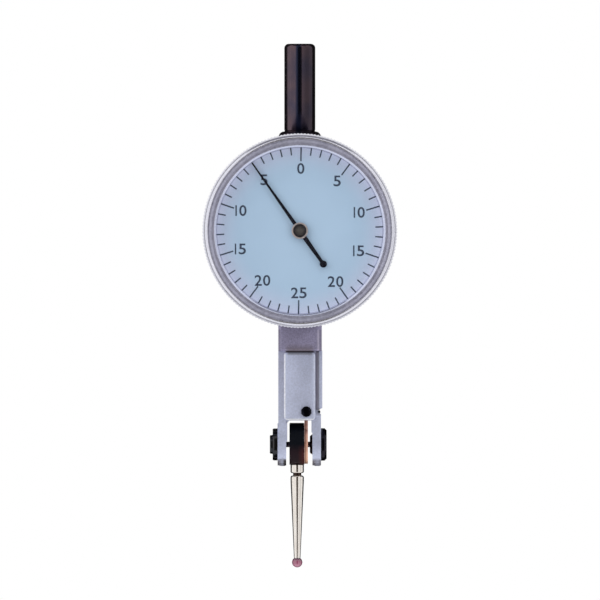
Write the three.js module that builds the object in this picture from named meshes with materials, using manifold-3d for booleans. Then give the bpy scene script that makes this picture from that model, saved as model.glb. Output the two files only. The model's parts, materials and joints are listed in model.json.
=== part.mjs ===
// Lever type dial test indicator with a plain round stem, a turning bezel and a ruby tipped stylus.
// Millimetres, +Z up. The origin is the centre of the stem's top face and the dial faces -Y.

import * as THREE from "three";
import { mergeVertices } from "three/addons/utils/BufferGeometryUtils.js";
import Module from "manifold-3d";

const wasm = await Module();
wasm.setup();

// Clearances shared by all pieces
const runningGap = 0.06;
const seatGap = 0.1;
const overrun = 1;
const mergeTolerance = 1e-4;

// Stem
const stemDiameter = 6;
const stemLength = 17;
const stemRound = 0.6;
const flangeDiameter = 8.2;
const flangeThickness = 1.2;
const flangeRound = 0.3;
const shankDiameter = 4;
const shankLength = 2;

// Body bar, boss and fork
const barWidth = 8.2;
const bossHeight = 4.2;
const bossLift = 1.2;
const bossRound = 0.5;
const bossBevel = 0.5;
const dialToPivot = 41.39;
const crotchToPivot = 4.66;
const earRadius = 4.18;
const crotchRound = 0.4;
const leftPadRadius = 4.1;
const leftPadThickness = 0.2;

// Rear dovetail
const railWidth = 6;
const railNeck = 4.8;
const railHeight = 1.6;
const railEnd = 0.43;

// Lever chamber inside the bar
const chamberLeft = 0.5;
const chamberWidth = 2.6;
const chamberWall = 1.15;
const slitWidth = 0.6;
const slitReliefRadius = 0.2;
const slitReliefDrop = 0.35;
const shoulderDrop = 0.55;

// Round case
const neckHeight = 1.25;
const caseRadius = 16.8;
const caseWall = 1.2;
const coverLedge = 1.2;
const caseRimAhead = 8.5;
const lugRadius = 1.9;
const lugInset = 1.3;
const lugStart = 90;
const lugCount = 3;

// Covers
const rearCoverThickness = 1;
const frontCoverWidth = 6.15;
const frontCoverShift = -0.025;
const frontCoverThickness = 0.5;
const frontCoverBevel = 0.35;
const frontCoverRound = 0.45;
const frontCoverGap = 0.1;
const sideCoverThickness = 0.7;
const sideCoverLift = 0.26;
const sideCoverEnd = 2.03;
const sideCoverSlant = 0.4;

// Screws
const plateScrewRadius = 0.5;
const plateScrewHead = 0.95;
const plateScrewHeadHeight = 0.45;
const plateScrewLength = 2.2;
const coverScrewHead = 0.985;
const coverScrewHeadHeight = 0.55;
const coverScrewRadius = 0.5;
const coverScrewX = 1.26;
const coverScrewUp = 1.68;
const sideScrewHead = 0.7;
const sideScrewHeadHeight = 0.4;
const sideScrewRadius = 0.35;
const sideScrewLength = 1.2;
const sideScrewInset = 1.6;
const slotWidth = 0.2;
const slotDepth = 0.2;

// Bezel
const bezelGap = 0.25;
const bezelWall = 1.6;
const bezelShoulder = 0.9;
const bezelBackAhead = 5.7;
const bezelLip = 0.5;
const bezelLipEdge = 0.1;
const bezelLedge = 0.75;
const bezelInnerBevel = 0.4;
const knurlLift = 0.35;
const knurlDepth = 0.32;
const knurlWidth = 2.6;
const knurlCount = 96;
const knurlRoot = 0.5;
const snapWire = 0.5;
const snapRingBite = 0.45;
const snapRingSplit = 24;
const snapRingInset = 0.65;

// Dial, crystal and pointer
const dialAhead = 10.4;
const dialThickness = 0.4;
const dialHole = 0.9;
const dialRingWidth = 1.1;
const dialRingThickness = 0.9;
const crystalGap = 1.5;
const crystalThickness = 1;
const gasketWidth = 0.65;
const pointerShort = 0.2;
const pointerRootWidth = 0.75;
const pointerTipWidth = 0.25;
const pointerThickness = 0.2;
const pointerTail = 7.9;
const pointerTailWidth = 0.95;
const pointerNeckWidth = 0.6;
const counterweightRadius = 0.7;
const pointerAngle = 35.2;
const pointerAhead = 11.15;
const pointerBoss = 1.2;
const hubRadius = 1.6;
const hubFace = 1.3;
const hubThickness = 0.35;
const hubDish = 0.08;

// Movement frame
const plateThickness = 1;
const plateRecess = 0.3;
const jewelRadius = 0.75;
const jewelThickness = 0.6;
const cockThickness = 0.8;
const cockWidth = 2;
const cockFootHeight = 3;
const cockToLug = 2.2;
const cockAhead = 5.2;
const arborCockHeight = 3.6;
const arborCockFoot = 2;
const arborCockBeyond = 1.3;
const arborSpanLeft = 2.8;
const arborSpanRight = 4.6;
const cockScrewRadius = 0.35;
const cockScrewHead = 0.65;
const cockScrewHeadHeight = 0.3;
const cockScrewBite = 0.7;

// Gear train
const gearModule = 0.15;
const toothAddendum = 0.12;
const toothDedendum = 0.17;
const sectorTeeth = 254;
const sectorTeethCut = 13;
const arborPinionTeeth = 10;
const crownTeeth = 56;
const centrePinionTeeth = 8;
const tipHalfWidth = 0.04;
const pitchHalfWidth = 0.09;
const rootHalfWidth = 0.12;
const crownFace = 0.7;
const crownRimThickness = 0.5;
const crownHubRadius = 0.95;
const crownSpokeWidth = 0.7;
const crownSpokes = 4;
const arborAhead = 1.9;
const arborRadius = 0.42;
const arborPivotRadius = 0.2;
const arborPinionGap = 0.25;
const arborPinionFace = 1.1;
const centrePinionFace = 1.1;
const centreArborRadius = 0.42;
const centreFrontRadius = 0.35;
const centrePivotRadius = 0.2;
const sectorThickness = 0.5;
const sectorArmWidth = 1.5;
const sectorRim = 1;
const sectorHubRadius = 1.1;
const sectorPinRadius = 0.4;
const sectorForkWidth = 1.6;
const sectorForkTail = 0.6;
const leverShare = 0.6173;

// Hairspring
const springTurns = 5;
const springSteps = 12;
const springInner = 1.25;
const springOuter = 4;
const springWire = 0.12;
const springHeight = 0.4;
const colletRadius = 0.9;
const colletHeight = 0.9;
const colletAhead = 8.5;
const studRadius = 0.4;
const studHeight = 1;

// Drive lever and pivot
const leverThickness = 0.64;
const leverHubRadius = 3.75;
const leverRootWidth = 5;
const leverEyeRadius = 0.7;
const drivePinRadius = 0.25;
const pivotShaftRadius = 0.54;
const pivotShaftBite = 0.9;
const washerRadius = 2.1;
const washerThickness = 0.35;
const holderGap = 0.64;
const pivotScrewRadius = 1.85;
const pivotScrewOut = 1.7;
const pivotScrewChamfer = 0.25;
const lockNutRadius = 3.1;
const lockNutThickness = 0.95;
const lockNutRound = 0.3;
const lockNutSlots = 4;
const lockNutSlotWidth = 0.9;
const lockNutSlotDepth = 0.5;
const bushHeadRadius = 3.15;
const bushHeadThickness = 1;
const bushHeadRound = 0.4;
const bushRadius = 1.85;
const coneRadius = 2;
const coneTipRadius = 1.6;
const coneLength = 0.5;
const coneGap = 0.38;

// Stylus holder, stylus and ball
const holderRadius = 4.08;
const holderLift = 0.1;
const holderLeft = 2;
const holderRight = 0.88;
const holderRound = 0.12;
const stylusX = -0.5;
const socketRadius = 1.3;
const socketBottom = 5.56;
const socketBury = 1.5;
const socketChamfer = 0.35;
const stylusNeckRadius = 0.85;
const stylusNeckLength = 0.45;
const stylusShoulder = 0.4;
const stylusShoulderRadius = 1.05;
const stylusTipRadius = 0.7;
const stylusStudRadius = 0.55;
const stylusStudLength = 1.5;
const ballRadius = 1;
const ballDrop = 22.83;
const ballSeatGap = 0.04;

// Facets round a turn, by the size of the piece
const fineSides = 44;
const discSides = 40;
const mediumSides = 24;
const smallSides = 16;
const tinySides = 10;
const cornerSteps = 3;

// Places worked out from the sizes above
const rearCoverRadius = caseRadius - caseWall;
const caseBore = rearCoverRadius - coverLedge;
const lugCircle = caseBore - lugInset;
const cockFootStart = lugCircle - lugRadius - cockToLug - cockFootHeight;
const bezelBore = caseRadius + bezelGap;
const bezelRadius = bezelBore + bezelWall;
const knurlRadius = bezelRadius + knurlLift;
const dialWindow = bezelBore - bezelLedge;
const pointerReach = dialWindow - pointerShort;
const stemToDial = stemLength + flangeThickness + neckHeight + caseRadius;
const dialZ = -stemToDial;
const pivotZ = dialZ - dialToPivot;
const barTop = -stemLength - flangeThickness;
const chamberDepth = (arborAhead + sectorHubRadius) * 2 + seatGap;
const barDepth = chamberDepth + chamberWall * 2;
const sideScrewBehind = (chamberDepth + chamberWall) / 2;
const barBack = barDepth / 2;
const barFront = -barDepth / 2;
const barRight = barWidth / 2;
const crotchZ = pivotZ + crotchToPivot;
const coverTop = dialZ - knurlRadius - bossHeight - frontCoverGap * 2;
const bossBottom = coverTop + frontCoverGap;
const coverBottom = crotchZ + frontCoverGap / 3;
const leverX = holderRight + seatGap / 2;
const forkInnerLeft = -holderLeft - holderGap;
const forkInnerRight = leverX + leverThickness + coneGap + coneLength;
const plateFront = -caseRimAhead + plateRecess;
const plateBack = plateFront + plateThickness;
const rearCoverFront = barBack - rearCoverThickness;
const crystalBack = -dialAhead - crystalGap;
const crystalFront = crystalBack - crystalThickness;
const bezelFront = crystalFront - bezelLip;
const bezelBack = -bezelBackAhead;
const chamberRight = chamberLeft + chamberWidth;
const arborY = -arborAhead;
const crownPitch = crownTeeth * gearModule / 2;
const centrePinionPitch = centrePinionTeeth * gearModule / 2;
const arborPinionPitch = arborPinionTeeth * gearModule / 2;
const sectorPitch = sectorTeeth * gearModule / 2;
const sectorPivotDrop = sectorPitch + arborPinionPitch;
const crownTipX = centrePinionPitch - toothAddendum;
const crownRootX = centrePinionPitch + toothDedendum;
const crownBackX = crownRootX + crownRimThickness;
const arborPinionX = crownBackX + arborPinionGap;
const sectorX = arborPinionX + (arborPinionFace - sectorThickness) / 2;
const pinDrop = dialToPivot - (dialToPivot - sectorPivotDrop) * leverShare;
const pinY = arborY * leverShare;
const sideCoverInner = barRight + sideCoverLift - sideCoverThickness;
const sideCoverBottom = crotchZ + sideCoverEnd;
const sideCoverOuter = sideCoverInner + sideCoverThickness;
const reliefZ = sideCoverBottom - slitReliefDrop;
const leftPadX = -barRight - leftPadThickness;
const washerLeft = holderRight - washerThickness;

const axisX = new THREE.Vector3(1, 0, 0);
const axisY = new THREE.Vector3(0, 1, 0);
const axisZ = new THREE.Vector3(0, 0, 1);
const ahead = axisY.clone().negate();
const alongX = new THREE.Matrix4().makeBasis(axisY, axisX, axisZ.clone().negate());
const alongY = new THREE.Matrix4();
const alongZ = new THREE.Matrix4().makeBasis(axisX, axisZ, ahead);
const acrossX = new THREE.Matrix4().makeBasis(axisY, axisZ, axisX);
const acrossY = new THREE.Matrix4().makeBasis(axisX, axisZ, ahead);

function toSolid(geometry) {
  const bare = new THREE.BufferGeometry();
  const loose = geometry.index ? geometry.toNonIndexed() : geometry;
  bare.setAttribute("position", loose.getAttribute("position"));
  const merged = mergeVertices(bare, mergeTolerance);
  return new wasm.Manifold(new wasm.Mesh({
    numProp: 3,
    vertProperties: new Float32Array(merged.getAttribute("position").array),
    triVerts: new Uint32Array(merged.index.array),
  }));
}

function toGeometry(solid) {
  const raw = solid.getMesh();
  const geometry = new THREE.BufferGeometry();
  geometry.setAttribute("position", new THREE.BufferAttribute(new Float32Array(raw.vertProperties), 3));
  geometry.setIndex(new THREE.BufferAttribute(new Uint32Array(raw.triVerts), 1));
  geometry.computeVertexNormals();
  return geometry;
}

// A turned solid: the profile holds pairs of radius and place along the axis
function turned(axis, profile, centre, sides) {
  const points = profile.map(([radius, along]) => new THREE.Vector2(radius, along));
  const geometry = new THREE.LatheGeometry(points, sides);
  geometry.applyMatrix4(axis);
  geometry.translate(centre.x, centre.y, centre.z);
  return toSolid(geometry);
}

function rod(axis, radius, from, to, centre, sides = smallSides) {
  return turned(axis, [[0, from], [radius, from], [radius, to], [0, to]], centre, sides);
}

function ring(axis, inner, outer, from, to, centre, sides = smallSides) {
  const profile = [[inner, from], [outer, from], [outer, to], [inner, to], [inner, from]];
  return turned(axis, profile, centre, sides);
}

// A flat plate: acrossY reads outline points as x and z, acrossX as y and z
function plate(across, outline, from, to) {
  const shape = outline instanceof THREE.Shape ? outline : new THREE.Shape(outline);
  const geometry = new THREE.ExtrudeGeometry(shape, {
    depth: to - from,
    bevelEnabled: false,
    curveSegments: cornerSteps,
  });
  geometry.applyMatrix4(across);
  if (across === acrossX) {
    geometry.translate(from, 0, 0);
  } else {
    geometry.translate(0, to, 0);
  }
  return toSolid(geometry);
}

function box(low, high) {
  const geometry = new THREE.BoxGeometry(high.x - low.x, high.y - low.y, high.z - low.z);
  geometry.translate((low.x + high.x) / 2, (low.y + high.y) / 2, (low.z + high.z) / 2);
  return toSolid(geometry);
}

function at(x, y, z) {
  return new THREE.Vector3(x, y, z);
}

function flat(u, v) {
  return new THREE.Vector2(u, v);
}

function arc(centreU, centreV, radius, fromDegrees, toDegrees, steps) {
  const points = [];
  for (let step = 0; step <= steps; step += 1) {
    const degrees = fromDegrees + (toDegrees - fromDegrees) * step / steps;
    const angle = THREE.MathUtils.degToRad(degrees);
    points.push(flat(centreU + radius * Math.cos(angle), centreV + radius * Math.sin(angle)));
  }
  return points;
}

function joinAll(first, others) {
  return others.reduce((whole, next) => whole.add(next), first);
}

function cutAll(first, others) {
  return others.reduce((whole, next) => whole.subtract(next), first);
}

// A screw with a slotted cheese head, its axis pointing out of the work
function screw(axis, outward, seat, radius, headRadius, headHeight, length, centre) {
  const top = seat + outward * headHeight;
  const tip = seat - outward * length;
  const profile = outward > 0
    ? [[0, tip], [radius, tip], [radius, seat], [headRadius, seat], [headRadius, top], [0, top]]
    : [[0, top], [headRadius, top], [headRadius, seat], [radius, seat], [radius, tip], [0, tip]];
  const body = turned(axis, profile, centre, tinySides);
  const slotNear = top - outward * slotDepth;
  const slotFar = top + outward * overrun;
  const low = Math.min(slotNear, slotFar);
  const high = Math.max(slotNear, slotFar);
  const half = slotWidth / 2;
  const reach = headRadius * 2;
  const slot = axis === alongX
    ? box(at(low, centre.y - half, centre.z - reach), at(high, centre.y + half, centre.z + reach))
    : box(at(centre.x - reach, low, centre.z - half), at(centre.x + reach, high, centre.z + half));
  return body.subtract(slot);
}

// Finishes
const finishes = {
  satinMetal: { color: 0xa9adba, roughness: 0.42, metalness: 0.75 },
  bezelMetal: { color: 0x9b98a8, roughness: 0.35, metalness: 0.8 },
  blackOxide: { color: 0x17171b, roughness: 0.45, metalness: 0.5 },
  steel: { color: 0xc4c2bf, roughness: 0.2, metalness: 0.95 },
  brass: { color: 0xc7a552, roughness: 0.35, metalness: 0.85 },
  copper: { color: 0xc08a6c, roughness: 0.35, metalness: 0.85 },
  ruby: { color: 0xc05a82, roughness: 0.12, metalness: 0 },
  dialBlue: { color: 0xa8c4de, roughness: 0.6, metalness: 0 },
  crystalClear: { color: 0xf2f6f8, roughness: 0.05, metalness: 0, transparent: true, opacity: 0.25 },
  rubber: { color: 0xd8dadc, roughness: 0.5, metalness: 0 },
  handBlack: { color: 0x14161c, roughness: 0.5, metalness: 0.2 },
};

function addPiece(group, name, solid, finish) {
  const mesh = new THREE.Mesh(toGeometry(solid), new THREE.MeshStandardMaterial(finishes[finish]));
  mesh.name = name;
  group.add(mesh);
  return mesh;
}

const indicator = new THREE.Group();
const dialGroup = new THREE.Group();
dialGroup.position.set(0, 0, dialZ);
const forkGroup = new THREE.Group();
forkGroup.position.set(0, 0, pivotZ);
indicator.add(dialGroup, forkGroup);
const centre = at(0, 0, 0);

// Stem: a plain round shank with a flange that seats on the bar's top
function makeStem() {
  const radius = stemDiameter / 2;
  const flange = flangeDiameter / 2;
  const flangeTop = -stemLength;
  const shankTip = barTop - shankLength;
  const stemTop = arc(radius - stemRound, -stemRound, stemRound, 0, 90, cornerSteps)
    .map((point) => [point.x, point.y]);
  return turned(alongZ, [
    [0, shankTip],
    [shankDiameter / 2, shankTip],
    [shankDiameter / 2, barTop],
    [flange, barTop],
    [flange, flangeTop - flangeRound],
    [flange - flangeRound, flangeTop],
    [radius, flangeTop],
    ...stemTop,
    [0, 0],
  ], centre, mediumSides);
}

// Bar with its boss and fork, seen from the front as x and z
function barOutline() {
  const shape = new THREE.Shape();
  shape.moveTo(-barRight, barTop);
  shape.lineTo(-barRight, pivotZ - earRadius);
  shape.lineTo(forkInnerLeft, pivotZ - earRadius);
  shape.lineTo(forkInnerLeft, crotchZ - crotchRound);
  shape.absarc(forkInnerLeft + crotchRound, crotchZ - crotchRound, crotchRound, Math.PI, Math.PI / 2, true);
  shape.absarc(forkInnerRight - crotchRound, crotchZ - crotchRound, crotchRound, Math.PI / 2, 0, true);
  shape.lineTo(forkInnerRight, pivotZ - earRadius);
  shape.lineTo(barRight, pivotZ - earRadius);
  shape.lineTo(barRight, barTop);
  return shape;
}

// Side view of the bar as y and z, with the ears rounded about the pivot
function barSideOutline() {
  return [
    flat(barBack, barTop + overrun),
    flat(barFront, barTop + overrun),
    flat(barFront, pivotZ),
    ...arc(0, pivotZ, barDepth / 2, 180, 360, mediumSides / 2),
  ];
}

function makeBar() {
  const front = plate(acrossY, barOutline(), barFront, barBack);
  const side = plate(acrossX, barSideOutline(), -barWidth, barWidth);
  const bossFront = barFront - bossLift;
  const boss = plate(acrossX, [
    flat(barFront + overrun, dialZ - caseBore),
    flat(bossFront, dialZ - caseBore),
    flat(bossFront, bossBottom + bossRound),
    ...arc(bossFront + bossRound, bossBottom + bossRound, bossRound, 180, 270, cornerSteps),
    flat(barFront + overrun, bossBottom),
  ], -barRight, barRight);
  const pad = rod(
    alongX, leftPadRadius, leftPadX, forkInnerLeft - seatGap, at(0, 0, pivotZ), mediumSides,
  );
  return front.intersect(side).add(boss.intersect(bossColumn(bossFront))).add(pad);
}

// Column seen from above that bevels the boss along both sides
function bossColumn(front) {
  const outline = new THREE.Shape([
    flat(-barRight, 0),
    flat(-barRight, front + bossBevel),
    flat(-barRight + bossBevel, front),
    flat(barRight - bossBevel, front),
    flat(barRight, front + bossBevel),
    flat(barRight, 0),
  ]);
  const geometry = new THREE.ExtrudeGeometry(outline, { depth: stemToDial, bevelEnabled: false });
  geometry.translate(0, 0, bossBottom);
  return toSolid(geometry);
}

function makeRail() {
  const bottom = crotchZ + railEnd;
  const outline = new THREE.Shape([
    flat(-railNeck / 2, -railHeight / 2),
    flat(-railNeck / 2, 0),
    flat(-railWidth / 2, railHeight),
    flat(railWidth / 2, railHeight),
    flat(railNeck / 2, 0),
    flat(railNeck / 2, -railHeight / 2),
  ]);
  const geometry = new THREE.ExtrudeGeometry(outline, { depth: bossBottom - bottom, bevelEnabled: false });
  geometry.translate(0, barBack, bottom);
  return toSolid(geometry);
}

function lugPlaces(radius) {
  const places = [];
  for (let index = 0; index < lugCount; index += 1) {
    const angle = THREE.MathUtils.degToRad(lugStart + index * 360 / lugCount);
    places.push(at(radius * Math.cos(angle), 0, dialZ + radius * Math.sin(angle)));
  }
  return places;
}

function makeCase() {
  const dialCentre = at(0, 0, dialZ);
  const drum = rod(alongY, caseRadius, -caseRimAhead, barBack, dialCentre, fineSides);
  const bore = rod(alongY, caseBore, plateBack - overrun, rearCoverFront + overrun, dialCentre, fineSides);
  const lugs = lugPlaces(lugCircle).map((place) => (
    rod(alongY, lugRadius, plateBack, rearCoverFront, place, smallSides)
  ));
  const rearSeat = rod(
    alongY, rearCoverRadius + seatGap, rearCoverFront, barBack + overrun, dialCentre, fineSides,
  );
  const frontSeat = rod(
    alongY, rearCoverRadius + seatGap, -caseRimAhead - overrun, plateBack, dialCentre, fineSides,
  );
  const snapGroove = ring(
    alongY,
    caseRadius - snapRingBite,
    caseRadius + overrun,
    bezelBack - snapRingInset - snapWire - seatGap,
    bezelBack - snapRingInset + seatGap,
    dialCentre,
    fineSides,
  );
  const lugWalls = lugs.map((lug) => lug.intersect(drum));
  const shell = makeBar().add(drum).subtract(bore);
  const hollow = joinAll(shell, [...lugWalls, makeRail()]);
  return cutAll(hollow, [rearSeat, frontSeat, snapGroove, ...caseHoles(), ...chamberCuts()]);
}

function caseHoles() {
  const screwHole = plateScrewRadius + seatGap;
  const shankHole = rod(
    alongZ, shankDiameter / 2 + seatGap, barTop - shankLength - seatGap, barTop + overrun, centre,
  );
  const sectorPinHole = rod(
    alongX,
    sectorPinRadius + runningGap,
    -chamberLeft,
    barRight + overrun,
    at(0, arborY, dialZ - sectorPivotDrop),
    tinySides,
  );
  const leftHole = rod(
    alongX, pivotScrewRadius + seatGap, -barWidth, forkInnerLeft + overrun, at(0, 0, pivotZ),
  );
  const rightHole = rod(
    alongX, bushRadius + seatGap, forkInnerRight - overrun, barWidth, at(0, 0, pivotZ),
  );
  const coverScrewHole = rod(
    alongY,
    coverScrewRadius + seatGap,
    barFront - overrun,
    barFront + overrun * 2,
    at(coverScrewX, 0, coverBottom + coverScrewUp),
    tinySides,
  );
  const lugHoles = lugPlaces(lugCircle).flatMap((place) => [
    rod(alongY, screwHole, plateBack - overrun, plateBack + plateScrewLength, place, tinySides),
    rod(alongY, screwHole, rearCoverFront - plateScrewLength, rearCoverFront + overrun, place, tinySides),
  ]);
  return [shankHole, sectorPinHole, leftHole, rightHole, coverScrewHole, ...lugHoles, ...sideScrewHoles()];
}

function sideScrewPlaces() {
  return [
    at(0, sideScrewBehind, bossBottom - sideScrewInset),
    at(0, sideScrewBehind, sideCoverBottom + sideScrewInset + sideCoverSlant),
  ];
}

function sideScrewHoles() {
  return sideScrewPlaces().map((place) => rod(
    alongX,
    sideScrewRadius + seatGap,
    sideCoverInner - sideScrewLength,
    barRight + overrun,
    place,
    tinySides,
  ));
}

// The lever chamber opens into the round case, to the fork and through the slit beside the front cover
function chamberCuts() {
  const half = chamberDepth / 2;
  const chamber = box(
    at(chamberLeft, -half, crotchZ - overrun),
    at(chamberRight, half, dialZ - caseBore + overrun),
  );
  const sidePocket = box(
    at(chamberLeft, -half, sideCoverBottom + sideCoverSlant + seatGap),
    at(sideCoverInner + overrun, half, bossBottom - seatGap),
  );
  const sideSeat = plate(acrossY, [
    flat(sideCoverInner, bossBottom),
    flat(sideCoverInner, reliefZ),
    flat(barRight, reliefZ - shoulderDrop),
    flat(barWidth, reliefZ - shoulderDrop),
    flat(barWidth, bossBottom),
  ], -barDepth, barDepth);
  const slit = box(
    at(sideCoverInner - slitWidth, -barDepth, sideCoverBottom),
    at(sideCoverInner + overrun, -half + overrun, bossBottom),
  );
  const relief = rod(
    alongY,
    slitReliefRadius,
    barFront - overrun,
    -half + overrun,
    at(sideCoverInner, 0, reliefZ),
    tinySides,
  );
  return [chamber, sidePocket, sideSeat, slit, relief];
}

function makeRearCover() {
  const disc = turned(alongY, [
    [0, rearCoverFront],
    [rearCoverRadius, rearCoverFront],
    [rearCoverRadius, barBack - seatGap],
    [rearCoverRadius - seatGap, barBack],
    [0, barBack],
  ], at(0, 0, dialZ), discSides);
  const holes = lugPlaces(lugCircle).map((place) => (
    rod(alongY, plateScrewRadius + seatGap, rearCoverFront - overrun, barBack + overrun, place, tinySides)
  ));
  const heads = lugPlaces(lugCircle).map((place) => rod(
    alongY, plateScrewHead + seatGap, barBack - plateScrewHeadHeight, barBack + overrun, place, tinySides,
  ));
  return cutAll(disc, [...holes, ...heads]);
}

// Front cover: a thin plate with bevelled edges and rounded lower corners
function makeFrontCover() {
  const left = frontCoverShift - frontCoverWidth / 2;
  const right = frontCoverShift + frontCoverWidth / 2;
  const bevel = frontCoverBevel;
  const round = frontCoverRound;
  const west = left + bevel + round;
  const east = right - bevel - round;
  const south = coverBottom + bevel + round;
  const north = coverTop - bevel - round;
  const shape = new THREE.Shape([
    ...arc(west, north, round, 90, 180, cornerSteps),
    ...arc(west, south, round, 180, 270, cornerSteps),
    ...arc(east, south, round, 270, 360, cornerSteps),
    ...arc(east, north, round, 0, 90, cornerSteps),
  ]);
  const geometry = new THREE.ExtrudeGeometry(shape, {
    depth: frontCoverThickness - bevel,
    bevelEnabled: true,
    bevelThickness: bevel,
    bevelSize: bevel,
    bevelSegments: 2,
  });
  geometry.applyMatrix4(acrossY);
  geometry.translate(0, barFront, 0);
  const body = toSolid(geometry);
  const trim = box(at(-barWidth, barFront, crotchZ - barWidth), at(barWidth, barBack, barTop));
  const hole = rod(
    alongY,
    coverScrewRadius + seatGap,
    barFront - barDepth,
    barBack,
    at(coverScrewX, 0, coverBottom + coverScrewUp),
    tinySides,
  );
  return cutAll(body, [trim, hole]);
}

function makeSideCover() {
  const bottom = sideCoverBottom;
  const outline = [
    flat(barFront, bossBottom - seatGap),
    flat(barFront, bottom + sideCoverSlant),
    flat(barFront + sideCoverSlant, bottom),
    flat(barBack - sideCoverSlant, bottom),
    flat(barBack, bottom + sideCoverSlant),
    flat(barBack, bossBottom - seatGap),
  ];
  const body = plate(acrossX, outline, sideCoverInner, sideCoverOuter);
  const holes = sideScrewPlaces().map((place) => rod(
    alongX, sideScrewRadius + seatGap, sideCoverInner - overrun, barWidth, place, tinySides,
  ));
  const heads = sideScrewPlaces().map((place) => rod(
    alongX, sideScrewHead + seatGap, sideCoverOuter - sideScrewHeadHeight, barWidth, place, tinySides,
  ));
  const foot = plate(acrossY, [
    flat(sideCoverInner, bottom),
    flat(sideCoverInner, bottom - overrun),
    flat(barWidth, bottom - overrun),
    flat(barWidth, bottom + sideCoverSlant),
    flat(sideCoverOuter, bottom + sideCoverSlant),
  ], -barDepth, barDepth);
  return cutAll(body, [...holes, ...heads, foot]);
}

// Bezel: a turned ring with a serrated grip behind its rounded shoulder
function makeBezel() {
  const shoulder = arc(
    bezelRadius - bezelShoulder, bezelFront + bezelShoulder, bezelShoulder, -90, 0, cornerSteps,
  ).map((point) => [point.x, point.y]);
  const gripFront = bezelBack - knurlWidth;
  const gripInner = knurlRadius - knurlDepth - knurlRoot;
  const grooveBack = bezelBack - snapRingInset + seatGap;
  const grooveFront = grooveBack - snapWire - seatGap * 2;
  const grooveRadius = bezelBore + snapWire;
  const profile = [
    [dialWindow, crystalFront],
    [dialWindow, crystalFront - bezelLipEdge],
    [dialWindow + bezelInnerBevel, bezelFront],
    ...shoulder,
    [bezelRadius, gripFront],
    [gripInner, gripFront + seatGap],
    [gripInner, bezelBack],
    [bezelBore, bezelBack],
    [bezelBore, grooveBack],
    [grooveRadius, grooveBack],
    [grooveRadius, grooveFront],
    [bezelBore, grooveFront],
    [bezelBore, crystalFront],
    [dialWindow, crystalFront],
  ];
  const body = turned(alongY, profile, centre, fineSides);
  return body.add(makeKnurl(gripInner - knurlDepth, gripFront, bezelBack));
}

function makeKnurl(inner, from, to) {
  const points = [];
  for (let index = 0; index < knurlCount; index += 1) {
    const tip = index * 2 * Math.PI / knurlCount;
    const root = (index + 0.5) * 2 * Math.PI / knurlCount;
    const rootRadius = knurlRadius - knurlDepth;
    points.push(flat(knurlRadius * Math.cos(tip), knurlRadius * Math.sin(tip)));
    points.push(flat(rootRadius * Math.cos(root), rootRadius * Math.sin(root)));
  }
  const shape = new THREE.Shape(points);
  shape.holes.push(new THREE.Path(arc(0, 0, inner, 360, 360 / fineSides, fineSides - 1)));
  return plate(acrossY, shape, from, to);
}

// Split wire ring that holds the bezel on the case and lets it turn
function makeSnapRing() {
  const inner = caseRadius - snapRingBite + seatGap;
  const outer = bezelBore + snapWire - seatGap;
  const half = snapRingSplit / 2;
  const outline = [
    ...arc(0, 0, outer, 90 + half, 450 - half, discSides),
    ...arc(0, 0, inner, 450 - half, 90 + half, discSides),
  ];
  const back = bezelBack - snapRingInset;
  return plate(acrossY, outline, back - snapWire, back);
}

function makeCrystal() {
  const radius = bezelBore - seatGap;
  return turned(alongY, [
    [0, crystalFront],
    [radius, crystalFront],
    [radius, crystalBack],
    [0, crystalBack],
  ], centre, discSides);
}

function makePointer() {
  const reach = pointerReach;
  const root = pointerRootWidth / 2;
  const tip = pointerTipWidth / 2;
  const neck = pointerNeckWidth / 2;
  const tail = pointerTailWidth / 2;
  const arm = [
    flat(root, 0),
    flat(tip, reach - tip),
    flat(0, reach),
    flat(-tip, reach - tip),
    flat(-root, 0),
  ];
  const back = [flat(-tail, 0), flat(-neck, -pointerTail), flat(neck, -pointerTail), flat(tail, 0)];
  const front = -pointerAhead;
  const rear = front + pointerThickness;
  const round = rod(alongY, counterweightRadius, front, rear, at(0, 0, -pointerTail), smallSides);
  const boss = rod(alongY, pointerBoss, front, rear, centre, smallSides);
  const hole = rod(
    alongY, centreFrontRadius + runningGap, front - overrun, rear + overrun, centre, tinySides,
  );
  const hand = joinAll(boss, [
    plate(acrossY, arm, front, rear),
    plate(acrossY, back, front, rear),
    round,
  ]).subtract(hole);
  return hand.rotate([0, -pointerAngle, 0]);
}

function makeHub() {
  const rear = -pointerAhead;
  const front = rear - hubThickness;
  const bore = centreFrontRadius + runningGap;
  const depth = rear - hubThickness / 2;
  return turned(alongY, [
    [0, front + hubDish],
    [hubFace, front + hubDish],
    [hubFace, front],
    [hubRadius - hubDish, front],
    [hubRadius, front + hubDish],
    [hubRadius, rear],
    [bore, rear],
    [bore, depth],
    [0, depth],
  ], centre, smallSides);
}

// Movement plate with its jewel and the three screws that hold it
function makeMovementPlate() {
  const disc = rod(alongY, rearCoverRadius, plateFront, plateBack, at(0, 0, dialZ), discSides);
  const jewelHole = rod(
    alongY, jewelRadius + seatGap, plateFront - overrun, plateBack + overrun, at(0, 0, dialZ), smallSides,
  );
  const screwHoles = lugPlaces(lugCircle).map((place) => rod(
    alongY, plateScrewRadius + seatGap, plateFront - overrun, plateBack + overrun, place, tinySides,
  ));
  const heads = lugPlaces(lugCircle).map((place) => rod(
    alongY,
    plateScrewHead + seatGap,
    plateFront - overrun,
    plateFront + plateScrewHeadHeight,
    place,
    tinySides,
  ));
  return cutAll(disc, [jewelHole, ...screwHoles, ...heads]);
}

function makeJewel(axis, from, to, bore, place) {
  return ring(axis, bore, jewelRadius, from, to, place, tinySides);
}

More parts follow.
